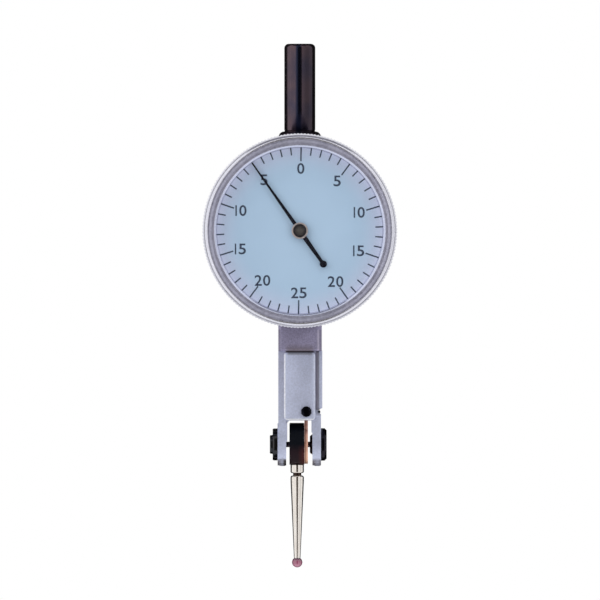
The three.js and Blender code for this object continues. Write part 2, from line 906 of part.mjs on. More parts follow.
// Cock behind the plate that carries the rear end of the centre arbor
function makeCentreCock() {
  const front = -cockAhead;
  const back = front + cockThickness;
  const right = crownTipX - seatGap * 3;
  const top = cockFootStart + cockFootHeight;
  const head = jewelRadius + seatGap * 3;
  const arm = plate(acrossY, [
    flat(right - cockWidth, 0),
    flat(right, 0),
    flat(right, top),
    flat(right - cockWidth, top),
  ], front, back);
  const eye = rod(alongY, head, front, back, centre, smallSides);
  const eyeTrim = box(
    at(crownRootX - seatGap, front - overrun, -head),
    at(crownRootX + overrun, back + overrun, head),
  );
  const foot = box(at(right - cockWidth, plateBack, cockFootStart), at(right, back, top));
  const jewelHole = rod(
    alongY, jewelBoreRadius(), front - overrun, back + overrun, centre, tinySides,
  );
  const screwHole = rod(
    alongY, cockScrewRadius + seatGap, plateBack - overrun, back + overrun, cockScrewPlace(), tinySides,
  );
  return cutAll(joinAll(arm, [eye, foot]), [eyeTrim, jewelHole, screwHole]);
}

function jewelBoreRadius() {
  return crownTipX - seatGap;
}

function cockScrewPlace() {
  const right = crownTipX - seatGap * 3;
  return at(right - cockWidth / 2, 0, cockFootStart + cockFootHeight / 2);
}

// Cocks that carry the crown arbor, one on each side
function makeArborCock(side, inner) {
  const outer = inner + side * cockThickness;
  const footEnd = inner + side * (cockThickness + arborCockFoot);
  const half = arborCockHeight / 2;
  const low = Math.min(inner, outer);
  const high = Math.max(inner, outer);
  const wall = box(at(low, plateBack, -half), at(high, arborY + arborCockBeyond, half));
  const foot = box(
    at(Math.min(inner, footEnd), plateBack, -half),
    at(Math.max(inner, footEnd), plateBack + cockThickness, half),
  );
  const jewelHole = rod(
    alongX, jewelRadius + seatGap, low - overrun, high + overrun, at(0, arborY, 0), tinySides,
  );
  const screwHole = rod(
    alongY,
    cockScrewRadius + seatGap,
    plateBack - overrun,
    plateBack + cockThickness + overrun,
    arborScrewPlace(side, inner),
    tinySides,
  );
  return cutAll(wall.add(foot), [jewelHole, screwHole]);
}

function arborScrewPlace(side, inner) {
  return at(inner + side * (cockThickness + arborCockFoot / 2), 0, 0);
}

// Tooth outline round a wheel: angles are measured from the given start
function toothRing(teeth, pitchRadius, startDegrees, count) {
  const points = [];
  const stations = [
    [-rootHalfWidth, -toothDedendum],
    [-pitchHalfWidth, 0],
    [-tipHalfWidth, toothAddendum],
    [tipHalfWidth, toothAddendum],
    [pitchHalfWidth, 0],
    [rootHalfWidth, -toothDedendum],
  ];
  const start = THREE.MathUtils.degToRad(startDegrees);
  for (let index = 0; index < count; index += 1) {
    const middle = start + index * 2 * Math.PI / teeth;
    for (const [across, out] of stations) {
      const radius = pitchRadius + out;
      const angle = middle + across / radius;
      points.push(flat(radius * Math.cos(angle), radius * Math.sin(angle)));
    }
  }
  return points;
}

// Crown arbor: two fine pivots, a plain body and a ten leaf pinion
function makeCrownArbor() {
  const left = -arborSpanLeft;
  const right = arborSpanRight;
  const leftTip = left - jewelThickness;
  const rightTip = right + jewelThickness;
  const start = -90 + 180 / arborPinionTeeth;
  const pinion = plate(
    acrossX,
    toothRing(arborPinionTeeth, arborPinionPitch, start, arborPinionTeeth),
    arborPinionX,
    arborPinionX + arborPinionFace,
  ).translate([0, arborY, 0]);
  const body = turned(alongX, [
    [0, leftTip],
    [arborPivotRadius, leftTip],
    [arborPivotRadius, left + seatGap],
    [arborRadius, left + seatGap],
    [arborRadius, right - seatGap],
    [arborPivotRadius, right - seatGap],
    [arborPivotRadius, rightTip],
    [0, rightTip],
  ], at(0, arborY, 0), tinySides);
  return body.add(pinion);
}

// Crown wheel: a crossed-out wheel whose teeth stand on its face
function makeCrownWheel() {
  const inner = crownPitch - crownFace / 2;
  const outer = crownPitch + crownFace / 2;
  const place = at(0, arborY, 0);
  const rim = ring(alongX, inner, outer, crownRootX, crownBackX, place, crownTeeth / 2);
  const hub = rod(alongX, crownHubRadius, crownRootX, crownBackX, place, smallSides);
  const spokes = [];
  for (let index = 0; index < crownSpokes; index += 1) {
    const spoke = box(
      at(crownRootX, 0, -crownSpokeWidth / 2),
      at(crownBackX, inner + crownFace / 2, crownSpokeWidth / 2),
    );
    spokes.push(spoke.rotate([45 + index * 360 / crownSpokes, 0, 0]).translate([0, arborY, 0]));
  }
  const bore = rod(
    alongX, arborRadius + runningGap, crownRootX - overrun, crownBackX + overrun, place, tinySides,
  );
  return joinAll(rim, [hub, ...spokes, ...crownTeethSolids(inner, outer)]).subtract(bore);
}

function crownTeethSolids(inner, outer) {
  const teeth = [];
  const bury = crownRimThickness / 2;
  const inset = gearModule / 4;
  const outline = [
    flat(rootHalfWidth, crownRootX + bury),
    flat(-rootHalfWidth, crownRootX + bury),
    flat(-rootHalfWidth, crownRootX),
    flat(-tipHalfWidth, crownTipX),
    flat(tipHalfWidth, crownTipX),
    flat(rootHalfWidth, crownRootX),
  ];
  const face = new THREE.Matrix4().makeBasis(axisZ, axisX, axisY);
  for (let index = 0; index < crownTeeth; index += 1) {
    const geometry = new THREE.ExtrudeGeometry(new THREE.Shape(outline), {
      depth: outer - inner - inset * 2,
      bevelEnabled: false,
    });
    geometry.applyMatrix4(face);
    geometry.translate(0, inner + inset, 0);
    const turn = (index + 0.5) * 360 / crownTeeth;
    teeth.push(toSolid(geometry).rotate([180 + turn, 0, 0]).translate([0, arborY, 0]));
  }
  return teeth;
}

// Centre arbor: an eight leaf pinion behind the plate and the seat of the pointer in front
function makeCentreArbor() {
  const pinionMiddle = arborY - crownPitch;
  const pinionFront = pinionMiddle - centrePinionFace / 2;
  const pinionBack = pinionMiddle + centrePinionFace / 2;
  const rearTip = -cockAhead + jewelThickness;
  const frontTip = -pointerAhead - hubThickness / 3;
  const body = turned(alongY, [
    [0, frontTip],
    [centreFrontRadius, frontTip],
    [centreFrontRadius, pinionFront],
    [centreArborRadius, pinionFront],
    [centreArborRadius, pinionBack],
    [centrePivotRadius, pinionBack],
    [centrePivotRadius, rearTip],
    [0, rearTip],
  ], centre, tinySides);
  const leaves = plate(
    acrossY, toothRing(centrePinionTeeth, centrePinionPitch, 0, centrePinionTeeth), pinionFront, pinionBack,
  );
  return body.add(leaves);
}

// Sector lever: a toothed arc above its pivot and a forked tail below it
function makeSectorLever() {
  const pivot = flat(arborY, -sectorPivotDrop);
  const spread = 360 / sectorTeeth;
  const start = 90 - spread * (sectorTeethCut - 1) / 2;
  const teeth = toothRing(sectorTeeth, sectorPitch, start, sectorTeethCut);
  const rimInner = sectorPitch - toothDedendum - sectorRim;
  const half = spread * sectorTeethCut / 2;
  const rim = [...teeth, ...arc(0, 0, rimInner, 90 + half, 90 - half, cornerSteps * 2)];
  const armHalf = sectorArmWidth / 2;
  const arm = [
    flat(sectorHubRadius, 0),
    flat(armHalf / 2, rimInner + sectorRim / 2),
    flat(-armHalf / 2, rimInner + sectorRim / 2),
    flat(-sectorHubRadius, 0),
  ];
  const pin = flat(pinY - arborY, sectorPivotDrop - pinDrop);
  const lean = Math.atan2(pin.x, -pin.y);
  const reach = pin.length() + drivePinRadius + sectorForkTail;
  const tail = [
    flat(-sectorHubRadius, 0),
    flat(-sectorForkWidth / 2, -reach),
    flat(sectorForkWidth / 2, -reach),
    flat(sectorHubRadius, 0),
  ];
  const right = sectorX + sectorThickness;
  const slotHalf = drivePinRadius + runningGap;
  const slot = box(
    at(sectorX - overrun, -slotHalf, -reach - overrun),
    at(right + overrun, slotHalf, -pin.length() + slotHalf * 2),
  );
  const tailPlate = plate(acrossX, tail, sectorX, right).subtract(slot);
  const hole = rod(
    alongX, sectorPinRadius + runningGap, sectorX - overrun, right + overrun, centre, tinySides,
  );
  const hub = rod(alongX, sectorHubRadius, sectorX, right, centre, smallSides);
  const lever = joinAll(plate(acrossX, rim, sectorX, right), [
    plate(acrossX, arm, sectorX, right),
    hub,
    tailPlate.rotate([THREE.MathUtils.radToDeg(lean), 0, 0]),
  ]);
  return lever.subtract(hole).translate([0, pivot.x, pivot.y]);
}

function makeHairspring() {
  const outer = [];
  const inner = [];
  const steps = springTurns * springSteps;
  for (let step = 0; step <= steps; step += 1) {
    const angle = step * 2 * Math.PI / springSteps;
    const radius = springInner + (springOuter - springInner) * step / steps;
    const far = radius + springWire / 2;
    const near = radius - springWire / 2;
    outer.push(flat(far * Math.cos(angle), far * Math.sin(angle)));
    inner.push(flat(near * Math.cos(angle), near * Math.sin(angle)));
  }
  const middle = -colletAhead - colletHeight / 2;
  return plate(acrossY, [...outer, ...inner.reverse()], middle - springHeight / 2, middle + springHeight / 2);
}

function makeDriveLever() {
  const top = flat(pinY, dialToPivot - pinDrop);
  const arm = [
    flat(leverRootWidth / 2, 0),
    flat(top.x + leverEyeRadius, top.y),
    flat(top.x - leverEyeRadius, top.y),
    flat(-leverRootWidth / 2, 0),
  ];
  const right = leverX + leverThickness;
  const hub = rod(alongX, leverHubRadius, leverX, right, centre, mediumSides);
  const eye = rod(alongX, leverEyeRadius, leverX, right, at(0, top.x, top.y), tinySides);
  const hole = rod(
    alongX, pivotShaftRadius + runningGap, leverX - overrun, right + overrun, centre, tinySides,
  );
  const pinHole = rod(
    alongX, drivePinRadius + runningGap, leverX - overrun, right + overrun, at(0, top.x, top.y), tinySides,
  );
  return cutAll(joinAll(plate(acrossX, arm, leverX, right), [hub, eye]), [hole, pinHole]);
}

function makeLockNut() {
  const inner = leftPadX;
  const outer = inner - lockNutThickness;
  const body = turned(alongX, [
    [pivotScrewRadius + seatGap, outer],
    [lockNutRadius - lockNutRound, outer],
    [lockNutRadius, outer + lockNutRound],
    [lockNutRadius, inner],
    [pivotScrewRadius + seatGap, inner],
    [pivotScrewRadius + seatGap, outer],
  ], centre, mediumSides);
  const slots = [];
  for (let index = 0; index < lockNutSlots; index += 1) {
    const slot = box(
      at(outer - overrun, lockNutRadius - lockNutSlotDepth, -lockNutSlotWidth / 2),
      at(inner + overrun, lockNutRadius + overrun, lockNutSlotWidth / 2),
    );
    slots.push(slot.rotate([45 + index * 360 / lockNutSlots, 0, 0]));
  }
  return cutAll(body, slots);
}

function makePivotScrew() {
  const tip = forkInnerLeft;
  const outer = -barRight - pivotScrewOut;
  const bore = pivotShaftRadius + runningGap;
  const body = turned(alongX, [
    [0, outer],
    [pivotScrewRadius - pivotScrewChamfer, outer],
    [pivotScrewRadius, outer + pivotScrewChamfer],
    [pivotScrewRadius, tip],
    [bore, tip],
    [bore, tip - pivotShaftBite - seatGap],
    [0, tip - pivotShaftBite - seatGap],
  ], centre, smallSides);
  const slot = box(
    at(outer - overrun, -slotWidth, -barWidth),
    at(outer + slotDepth * 2, slotWidth, barWidth),
  );
  return body.subtract(slot);
}

function makePivotBush() {
  const inner = forkInnerRight;
  const seat = barRight;
  const outer = seat + bushHeadThickness;
  const bore = pivotShaftRadius + runningGap;
  const depth = inner + pivotShaftBite + seatGap;
  return turned(alongX, [
    [bore, inner],
    [bushRadius, inner],
    [bushRadius, seat],
    [bushHeadRadius, seat],
    [bushHeadRadius, outer - bushHeadRound],
    [bushHeadRadius - bushHeadRound, outer],
    [0, outer],
    [0, depth],
    [bore, depth],
    [bore, inner],
  ], centre, mediumSides);
}

function makePivotCone() {
  const wide = forkInnerRight;
  const bore = pivotShaftRadius + runningGap;
  return turned(alongX, [
    [bore, wide - coneLength],
    [coneTipRadius, wide - coneLength],
    [coneRadius, wide],
    [bore, wide],
    [bore, wide - coneLength],
  ], centre, smallSides);
}

function makeHolder() {
  const left = -holderLeft;
  const right = holderRight;
  const body = turned(alongX, [
    [0, left],
    [holderRadius - holderRound, left],
    [holderRadius, left + holderRound],
    [holderRadius, right - holderRound],
    [holderRadius - holderRound, right],
    [0, right],
  ], at(0, 0, holderLift), mediumSides);
  const bore = rod(
    alongX, pivotShaftRadius + runningGap, left - overrun, right + overrun, centre, tinySides,
  );
  const pocket = rod(
    alongZ,
    socketRadius + runningGap,
    -barWidth,
    -holderRadius + socketBury + runningGap,
    at(stylusX, 0, 0),
    smallSides,
  );
  const washerPocket = rod(
    alongX, washerRadius + seatGap, washerLeft - runningGap, right + overrun, centre, smallSides,
  );
  return cutAll(body, [bore, pocket, washerPocket]);
}

function makeSocket() {
  const top = -holderRadius + socketBury;
  const bottom = -socketBottom;
  const bore = stylusStudRadius + runningGap;
  return turned(alongZ, [
    [bore, bottom],
    [socketRadius - socketChamfer, bottom],
    [socketRadius, bottom + socketChamfer],
    [socketRadius, top],
    [0, top],
    [0, bottom + stylusStudLength + seatGap],
    [bore, bottom + stylusStudLength + seatGap],
    [bore, bottom],
  ], at(stylusX, 0, 0), smallSides);
}

function makeStylus() {
  const neckTop = -socketBottom;
  const neckBottom = neckTop - stylusNeckLength;
  const ballTopAt = (radius) => (
    -ballDrop + ballSeatGap + Math.sqrt(ballRadius ** 2 - radius ** 2)
  );
  return turned(alongZ, [
    [0, ballTopAt(0)],
    [stylusTipRadius / 2, ballTopAt(stylusTipRadius / 2)],
    [stylusTipRadius, ballTopAt(stylusTipRadius)],
    [socketRadius, neckBottom - stylusShoulder],
    [stylusShoulderRadius, neckBottom],
    [stylusNeckRadius, neckBottom],
    [stylusNeckRadius, neckTop],
    [stylusStudRadius, neckTop],
    [stylusStudRadius, neckTop + stylusStudLength],
    [0, neckTop + stylusStudLength],
  ], at(stylusX, 0, 0), smallSides);
}

function makeBall() {
  const geometry = new THREE.SphereGeometry(ballRadius, smallSides, tinySides);
  geometry.translate(stylusX, 0, -ballDrop);
  return toSolid(geometry);
}

function addCasePieces() {
  addPiece(indicator, "stem", makeStem(), "blackOxide");
  addPiece(indicator, "case_body", makeCase(), "satinMetal");
  addPiece(indicator, "rear_cover", makeRearCover(), "satinMetal");
  addPiece(indicator, "front_cover", makeFrontCover(), "satinMetal");
  addPiece(indicator, "side_cover", makeSideCover(), "satinMetal");
  const coverScrewPlace = at(coverScrewX, 0, coverBottom + coverScrewUp);
  addPiece(indicator, "front_cover_screw", screw(
    alongY, -1, barFront - frontCoverThickness, coverScrewRadius, coverScrewHead, coverScrewHeadHeight,
    frontCoverThickness + overrun, coverScrewPlace,
  ), "blackOxide");
  sideScrewPlaces().forEach((place, index) => {
    addPiece(indicator, `side_cover_screw_${index + 1}`, screw(
      alongX, 1, sideCoverOuter - sideScrewHeadHeight, sideScrewRadius, sideScrewHead,
      sideScrewHeadHeight, sideCoverThickness - sideScrewHeadHeight + sideScrewLength - seatGap, place,
    ), "blackOxide");
  });
  lugPlaces(lugCircle).forEach((place, index) => {
    addPiece(indicator, `rear_cover_screw_${index + 1}`, screw(
      alongY, 1, barBack - plateScrewHeadHeight, plateScrewRadius, plateScrewHead, plateScrewHeadHeight,
      plateScrewLength - seatGap, place,
    ), "steel");
  });
}

function addBezelPieces() {
  addPiece(dialGroup, "bezel", makeBezel(), "bezelMetal");
  addPiece(dialGroup, "bezel_snap_ring", makeSnapRing(), "steel");
  addPiece(dialGroup, "crystal", makeCrystal(), "crystalClear");
  const inner = bezelBore - seatGap;
  addPiece(dialGroup, "crystal_gasket", ring(
    alongY, inner - gasketWidth, inner, crystalBack, -dialAhead, centre, discSides,
  ), "rubber");
  addPiece(dialGroup, "dial_face", ring(
    alongY, dialHole, inner, -dialAhead, -dialAhead + dialThickness, centre, discSides,
  ), "dialBlue");
  addPiece(dialGroup, "dial_ring", ring(
    alongY, inner - dialRingWidth, inner, -dialAhead + dialThickness,
    -dialAhead + dialThickness + dialRingThickness, centre, discSides,
  ), "steel");
}

function addMovementFrame() {
  addPiece(indicator, "movement_plate", makeMovementPlate(), "brass");
  lugPlaces(lugCircle).forEach((place, index) => {
    addPiece(indicator, `plate_screw_${index + 1}`, screw(
      alongY, -1, plateFront + plateScrewHeadHeight, plateScrewRadius, plateScrewHead,
      plateScrewHeadHeight, plateThickness - plateScrewHeadHeight + plateScrewLength - seatGap, place,
    ), "steel");
  });
  addPiece(dialGroup, "plate_jewel", makeJewel(
    alongY, plateFront, plateFront + jewelThickness, centreFrontRadius + runningGap, centre,
  ), "ruby");
  addPiece(dialGroup, "centre_cock", makeCentreCock(), "brass");
  addPiece(dialGroup, "cock_jewel", ring(
    alongY, centrePivotRadius + runningGap, jewelBoreRadius() - runningGap, -cockAhead,
    -cockAhead + jewelThickness, centre, tinySides,
  ), "ruby");
  addPiece(dialGroup, "centre_cock_screw", screw(
    alongY, 1, -cockAhead + cockThickness, cockScrewRadius, cockScrewHead, cockScrewHeadHeight,
    cockThickness + cockScrewBite, cockScrewPlace(),
  ), "steel");
  [[-1, -arborSpanLeft, "left"], [1, arborSpanRight, "right"]].forEach(([side, inner, word]) => {
    addPiece(dialGroup, `arbor_cock_${word}`, makeArborCock(side, inner), "brass");
    const far = inner + side * jewelThickness;
    addPiece(dialGroup, `arbor_jewel_${word}`, makeJewel(
      alongX, Math.min(inner, far), Math.max(inner, far), arborPivotRadius + runningGap, at(0, arborY, 0),
    ), "ruby");
    addPiece(dialGroup, `arbor_cock_screw_${word}`, screw(
      alongY, 1, plateBack + cockThickness, cockScrewRadius, cockScrewHead, cockScrewHeadHeight,
      cockThickness - seatGap, arborScrewPlace(side, inner),
    ), "steel");
  });
}

function addTrain() {
  addPiece(dialGroup, "crown_arbor", makeCrownArbor(), "steel");
  addPiece(dialGroup, "crown_wheel", makeCrownWheel(), "brass");
  addPiece(dialGroup, "centre_arbor", makeCentreArbor(), "steel");
  addPiece(dialGroup, "sector_lever", makeSectorLever(), "brass");
  addPiece(dialGroup, "sector_pin", rod(
    alongX, sectorPinRadius, -chamberLeft + seatGap, barRight, at(0, arborY, -sectorPivotDrop), tinySides,
  ), "steel");
  const collet = ring(
    alongY, centreFrontRadius + runningGap, colletRadius, -colletAhead - colletHeight, -colletAhead,
    centre, tinySides,
  );
  addPiece(dialGroup, "hairspring_collet", collet, "brass");
  addPiece(dialGroup, "hairspring", makeHairspring(), "steel");
  addPiece(dialGroup, "hairspring_stud", rod(
    alongY, studRadius, plateFront - studHeight, plateFront,
    at(springOuter + springWire / 2 + seatGap + studRadius, 0, 0), tinySides,
  ), "brass");
  addPiece(dialGroup, "pointer", makePointer(), "handBlack");
  addPiece(dialGroup, "pointer_hub", makeHub(), "handBlack");
}

function addForkPieces() {
  addPiece(forkGroup, "drive_lever", makeDriveLever(), "copper");
  addPiece(forkGroup, "drive_pin", rod(
    alongX, drivePinRadius, leverX, sectorX + sectorThickness + seatGap,
    at(0, pinY, dialToPivot - pinDrop), tinySides,
  ), "steel");
  addPiece(forkGroup, "pivot_shaft", rod(
    alongX, pivotShaftRadius, forkInnerLeft - pivotShaftBite, forkInnerRight + pivotShaftBite,
    centre, tinySides,
  ), "blackOxide");
  addPiece(forkGroup, "friction_washer", ring(
    alongX, pivotShaftRadius + runningGap, washerRadius, washerLeft, holderRight, centre, smallSides,
  ), "steel");
  addPiece(forkGroup, "pivot_screw", makePivotScrew(), "blackOxide");
  addPiece(forkGroup, "lock_nut", makeLockNut(), "blackOxide");
  addPiece(forkGroup, "pivot_bush", makePivotBush(), "blackOxide");
  addPiece(forkGroup, "pivot_cone", makePivotCone(), "blackOxide");
  addPiece(forkGroup, "stylus_holder", makeHolder(), "blackOxide");
  addPiece(forkGroup, "stylus_socket", makeSocket(), "steel");
  addPiece(forkGroup, "stylus", makeStylus(), "steel");
  addPiece(forkGroup, "ruby_ball", makeBall(), "ruby");
}

addCasePieces();
addBezelPieces();
addMovementFrame();
addTrain();
addForkPieces();

export default indicator;
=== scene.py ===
"""Looks of a lever type dial test indicator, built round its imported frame.

Metres, +Z up, the dial faces -Y and the origin is the centre of the stem's top face.
Places and sizes in the code are in millimetres, and MM turns them into metres.
"""

import json
import math
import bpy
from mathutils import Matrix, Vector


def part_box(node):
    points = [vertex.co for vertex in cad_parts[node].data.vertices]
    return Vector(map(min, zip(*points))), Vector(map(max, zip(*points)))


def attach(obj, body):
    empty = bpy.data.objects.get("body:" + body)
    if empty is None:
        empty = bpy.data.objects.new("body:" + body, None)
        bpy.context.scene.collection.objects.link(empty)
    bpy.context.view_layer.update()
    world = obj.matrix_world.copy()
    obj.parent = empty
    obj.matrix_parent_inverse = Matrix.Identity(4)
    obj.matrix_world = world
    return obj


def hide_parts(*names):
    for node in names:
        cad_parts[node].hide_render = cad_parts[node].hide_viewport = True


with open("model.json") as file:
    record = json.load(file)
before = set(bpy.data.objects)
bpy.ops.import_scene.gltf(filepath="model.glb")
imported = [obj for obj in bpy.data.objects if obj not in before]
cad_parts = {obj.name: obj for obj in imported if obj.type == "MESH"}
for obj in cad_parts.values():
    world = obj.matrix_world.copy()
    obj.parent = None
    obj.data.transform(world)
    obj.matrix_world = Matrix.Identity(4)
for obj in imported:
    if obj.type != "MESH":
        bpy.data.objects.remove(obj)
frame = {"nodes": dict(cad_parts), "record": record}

from types import SimpleNamespace

import bpy
from mathutils import Vector

bl_info = {
    "name": "Dial Test Indicator",
    "version": (1, 0, 0),
    "blender": (4, 5, 0),
    "location": "View3D > Sidebar > Indicator",
    "description": "Builds the visible pieces, finishes and stage of a lever type dial test indicator",
    "category": "Add Mesh",
}

MM = 0.001
QUARTER = math.radians(90)
MERGE = 0.000001
SHARP = math.radians(32)

# Facets round a turned piece
FINE = 160
ROUND = 96
SMALL = 48
TINY = 16


def corners(node):
    """Lowest and highest corner of a CAD node in millimetres."""
    low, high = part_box(node)
    return low / MM, high / MM


# Places taken from the CAD nodes
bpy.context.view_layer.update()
DIAL_LOW, DIAL_HIGH = corners("dial_face")
BEZEL_LOW, BEZEL_HIGH = corners("bezel")
STEM_LOW, STEM_HIGH = corners("stem")
SHAFT_LOW, SHAFT_HIGH = corners("pivot_shaft")
BALL_LOW, BALL_HIGH = corners("ruby_ball")
BODY_LOW, BODY_HIGH = corners("case_body")
COVER_LOW, COVER_HIGH = corners("front_cover")
SIDE_LOW, SIDE_HIGH = corners("side_cover")
SOCKET_LOW, SOCKET_HIGH = corners("stylus_socket")
HOLDER_LOW, HOLDER_HIGH = corners("stylus_holder")
LEVER_LOW, LEVER_HIGH = corners("drive_lever")
BAR_FRONT = SIDE_LOW.y
BOSS_END = COVER_HIGH.z + 0.1
DIAL_CENTRE = Vector((0, 0, (DIAL_LOW.z + DIAL_HIGH.z) / 2))
PIVOT_CENTRE = Vector((0, 0, (SHAFT_LOW.z + SHAFT_HIGH.z) / 2))
STYLUS_CENTRE = Vector(((BALL_LOW.x + BALL_HIGH.x) / 2, 0, 0))
DOWEL_CENTRE = Vector((SIDE_LOW.x, 0, SIDE_LOW.z - 0.35))

# The fork's ears, each side of the axis, and the half width of the boss and the bar
EAR_MIDDLE = 3.4
EAR_HALF = 0.87
BOSS_HALF = 4.1

# Colour sockets of a Mix node
MIX_FIRST = 6
MIX_SECOND = 7
MIX_RESULT = 2


def srgb(red, green, blue):
    """A colour written as on screen, 0 to 255, as the linear values that a shader takes."""
    def linear(value):
        share = value / 255
        return share / 12.92 if share <= 0.04045 else ((share + 0.055) / 1.055) ** 2.4
    return (linear(red), linear(green), linear(blue), 1.0)


def grey(share):
    """A grey that multiplies a colour."""
    return (share, share, share, 1)


def mixed(first, second, share):
    """A colour between two, worked out in Python."""
    return tuple(a + (b - a) * share for a, b in zip(first, second))


WHITE = grey(1)
BLACK = grey(0)

# Colours over the finishes and of the stage: painted shade, painted highlights, painted reflections, tints
# and tarnish
# Painted shade on the ears' round ends, where they turn down
EAR_END_SHADE = srgb(110, 96, 90)
EAR_SHADE = srgb(34, 30, 30)
GAP_SHADE = srgb(84, 78, 86)
# Painted shade round the dowel at the foot of the slit
DOWEL_SHADE = srgb(70, 70, 84)
# Painted shade along the boss's side edges
BOSS_EDGE_SHADE = srgb(84, 78, 88)
# Painted highlight: a pale streak near the boss's right edge
BOSS_PAINTED_HIGHLIGHT = srgb(214, 206, 226)
BOSS_FOOT = srgb(108, 96, 94)
COVER_SHADE = srgb(96, 92, 100)
# Painted shade in the slit beside the side cover
SLIT_SHADE = srgb(140, 137, 152)
BEVEL_BLUE = srgb(176, 188, 224)
SATIN_DARK = srgb(52, 50, 74)
GRIP_PALE = srgb(234, 234, 242)
# Painted reflection: the dark stripe down the front of the stem
STEM_REFLECTION_NAVY = srgb(38, 42, 62)
HOLDER_NAVY = srgb(5, 10, 20)
# Painted reflections on the stylus holder: brown below the pivot and red towards the lever
HOLDER_REFLECTION_BROWN = srgb(34, 20, 27)
HOLDER_REFLECTION_RED = srgb(92, 36, 30)
STEEL_WARM = srgb(210, 196, 184)
# Darker where the steel runs up into the holder
STEEL_IN_HOLDER = srgb(40, 28, 30)
# A darker band in the stylus's neck, just below the socket
NECK_DARK = srgb(62, 48, 44)
# Painted shade on the drive lever's upper part, under the front cover
LEVER_TOP_SHADE = srgb(226, 168, 150)
LEVER_BROWN = srgb(150, 100, 88)
LEVER_LINE = srgb(84, 54, 50)
SHEET_TARNISH = srgb(110, 70, 48)
# Painted light and shade on the ruby: a paler foot, a darker outline and the steel's reflection at the top
RUBY_FOOT_LIGHT = srgb(202, 132, 160)
RUBY_RIM_SHADE = srgb(96, 52, 74)
RUBY_STEEL_REFLECTION = srgb(74, 56, 70)
# More violet towards the dial's rim, and painted paler there against the bezel's shade
DIAL_RIM_LIGHTENED = srgb(224, 228, 252)
# Painted shadow of the bezel's lip at the dial's edge
DIAL_EDGE_SHADOW = srgb(140, 146, 178)
DIAL_CLOUD = srgb(120, 150, 185)
INK_WORN = (0.3, 0.4, 0.5, 1)
CRYSTAL_GLASS = srgb(96, 104, 116)
GASKET_DARK = srgb(222, 226, 236)
GASKET_PALE = srgb(240, 242, 250)
HUB_RIM = srgb(216, 202, 196)
HUB_MIDDLE = srgb(74, 68, 62)
HUB_DISH = srgb(24, 18, 24)
HAND_DARK = srgb(6, 4, 16)
HAND_PALE = srgb(18, 14, 28)
FLOOR_DARK = srgb(236, 236, 238)
FLOOR_PALE = srgb(242, 242, 243)
FLAG_BLACK = srgb(12, 12, 14)
FLAG_BROWN = srgb(72, 62, 54)
FLAG_GREY = srgb(120, 118, 128)


def length(name, description, default):
    """A length property. Its default is written in millimetres."""
    return bpy.props.FloatProperty(
        name=name, description=description, default=default * MM, unit="LENGTH", precision=5)


def number(name, description, default, lowest):
    """A whole number property."""
    return bpy.props.IntProperty(name=name, description=description, default=default, min=lowest)


def colour(name, description, default):
    """A colour property."""
    return bpy.props.FloatVectorProperty(
        name=name, description=description, default=default, subtype="COLOR", size=4)


def power(name, description, default):
    """A lamp's power."""
    return bpy.props.FloatProperty(name=name, description=description, default=default, unit="POWER")


class DialSizes(bpy.types.PropertyGroup):
    """Sizes and colours of the dial's print."""

    divisions: number("Divisions", "Divisions round the scale", 50, 10)
    major_every: number("Major every", "Divisions from one long mark to the next", 5, 1)
    turn: bpy.props.FloatProperty(
        name="Turn", description="How far the scale is turned clockwise", default=math.radians(0.9),
        subtype="ANGLE")
    outer: length("Scale radius", "Outer end of the marks", 16.12)
    major_length: length("Long mark", "Length of a long mark", 2.68)
    minor_length: length("Short mark", "Length of a short mark", 1.5)
    major_width: length("Long mark width", "Width of a long mark", 0.27)
    minor_width: length("Short mark width", "Width of a short mark", 0.25)
    print_height: length("Print height", "How far the ink stands on the face", 0.02)
    numeral_radius: length("Numeral radius", "Radius of the numerals' centres", 12.02)
    numeral_height: length("Numeral height", "Height of a numeral", 2.08)
    numeral_width: length("Numeral width", "Width of a round numeral", 1.39)
    numeral_gap: length("Numeral gap", "Space between two numerals", 0.24)
    stroke: length("Stroke", "Width of a plain upright stroke", 0.27)
    weight: bpy.props.FloatProperty(
        name="Weight", description="Growth of a numeral's outline", default=0.013, subtype="FACTOR")
    face: colour("Face", "Colour of the face", srgb(176, 203, 228))
    ink: colour("Ink", "Colour of the print", srgb(44, 56, 80))


class BezelSizes(bpy.types.PropertyGroup):
    """Sizes and colours of the turning bezel."""

    serrations: number("Serrations", "Serrations round the grip", 180, 24)
    serration_depth: length("Serration depth", "Depth of a serration", 0.17)
    ring_radius: length("Ring radius", "Outer radius of the front ring", 18.52)
    window: length("Window", "Radius of the dial that shows", 16.18)
    inner_bevel: length("Inner bevel", "Width of the polished inner bevel", 0.4)
    bead_radius: length("Bead radius", "Radius of the low bead on the face", 17.29)
    bead_width: length("Bead width", "Width of the low bead on the face", 0.46)
    bead_height: length("Bead height", "Height of the low bead on the face", 0.05)
    shoulder: length("Shoulder", "Radius of the rounded shoulder", 0.78)
    grip_width: length("Grip width", "Width of the serrated grip", 2.6)
    metal: colour("Metal", "Colour of the satin face", srgb(181, 181, 203))
    polish: colour("Polish", "Colour of the polished bevel and shoulder", srgb(221, 221, 232))


class BodyFinish(bpy.types.PropertyGroup):
    """Colours of the body, fork and stylus."""

    satin: colour("Satin body", "Colour of the satin plated body", srgb(202, 208, 232))
    # Partly the plating of the drum and boss, and partly painted shade under the bezel
    drum: colour("Drum", "Colour of the plated drum and boss", srgb(160, 154, 183))
    black: colour("Black", "Colour of the blackened steel", srgb(72, 66, 80))
    steel: colour("Steel", "Colour of the bright steel", srgb(214, 208, 200))
    polished: colour("Polished steel", "Colour of the stylus", srgb(240, 235, 229))
    copper: colour("Copper", "Colour of the drive lever", srgb(244, 192, 160))
    brass: colour("Brass", "Colour of the movement's plates", srgb(206, 176, 104))
    ruby: colour("Ruby", "Colour of the ball", srgb(161, 84, 114))
    edge: length("Edge break", "Width of the broken edges", 0.12)


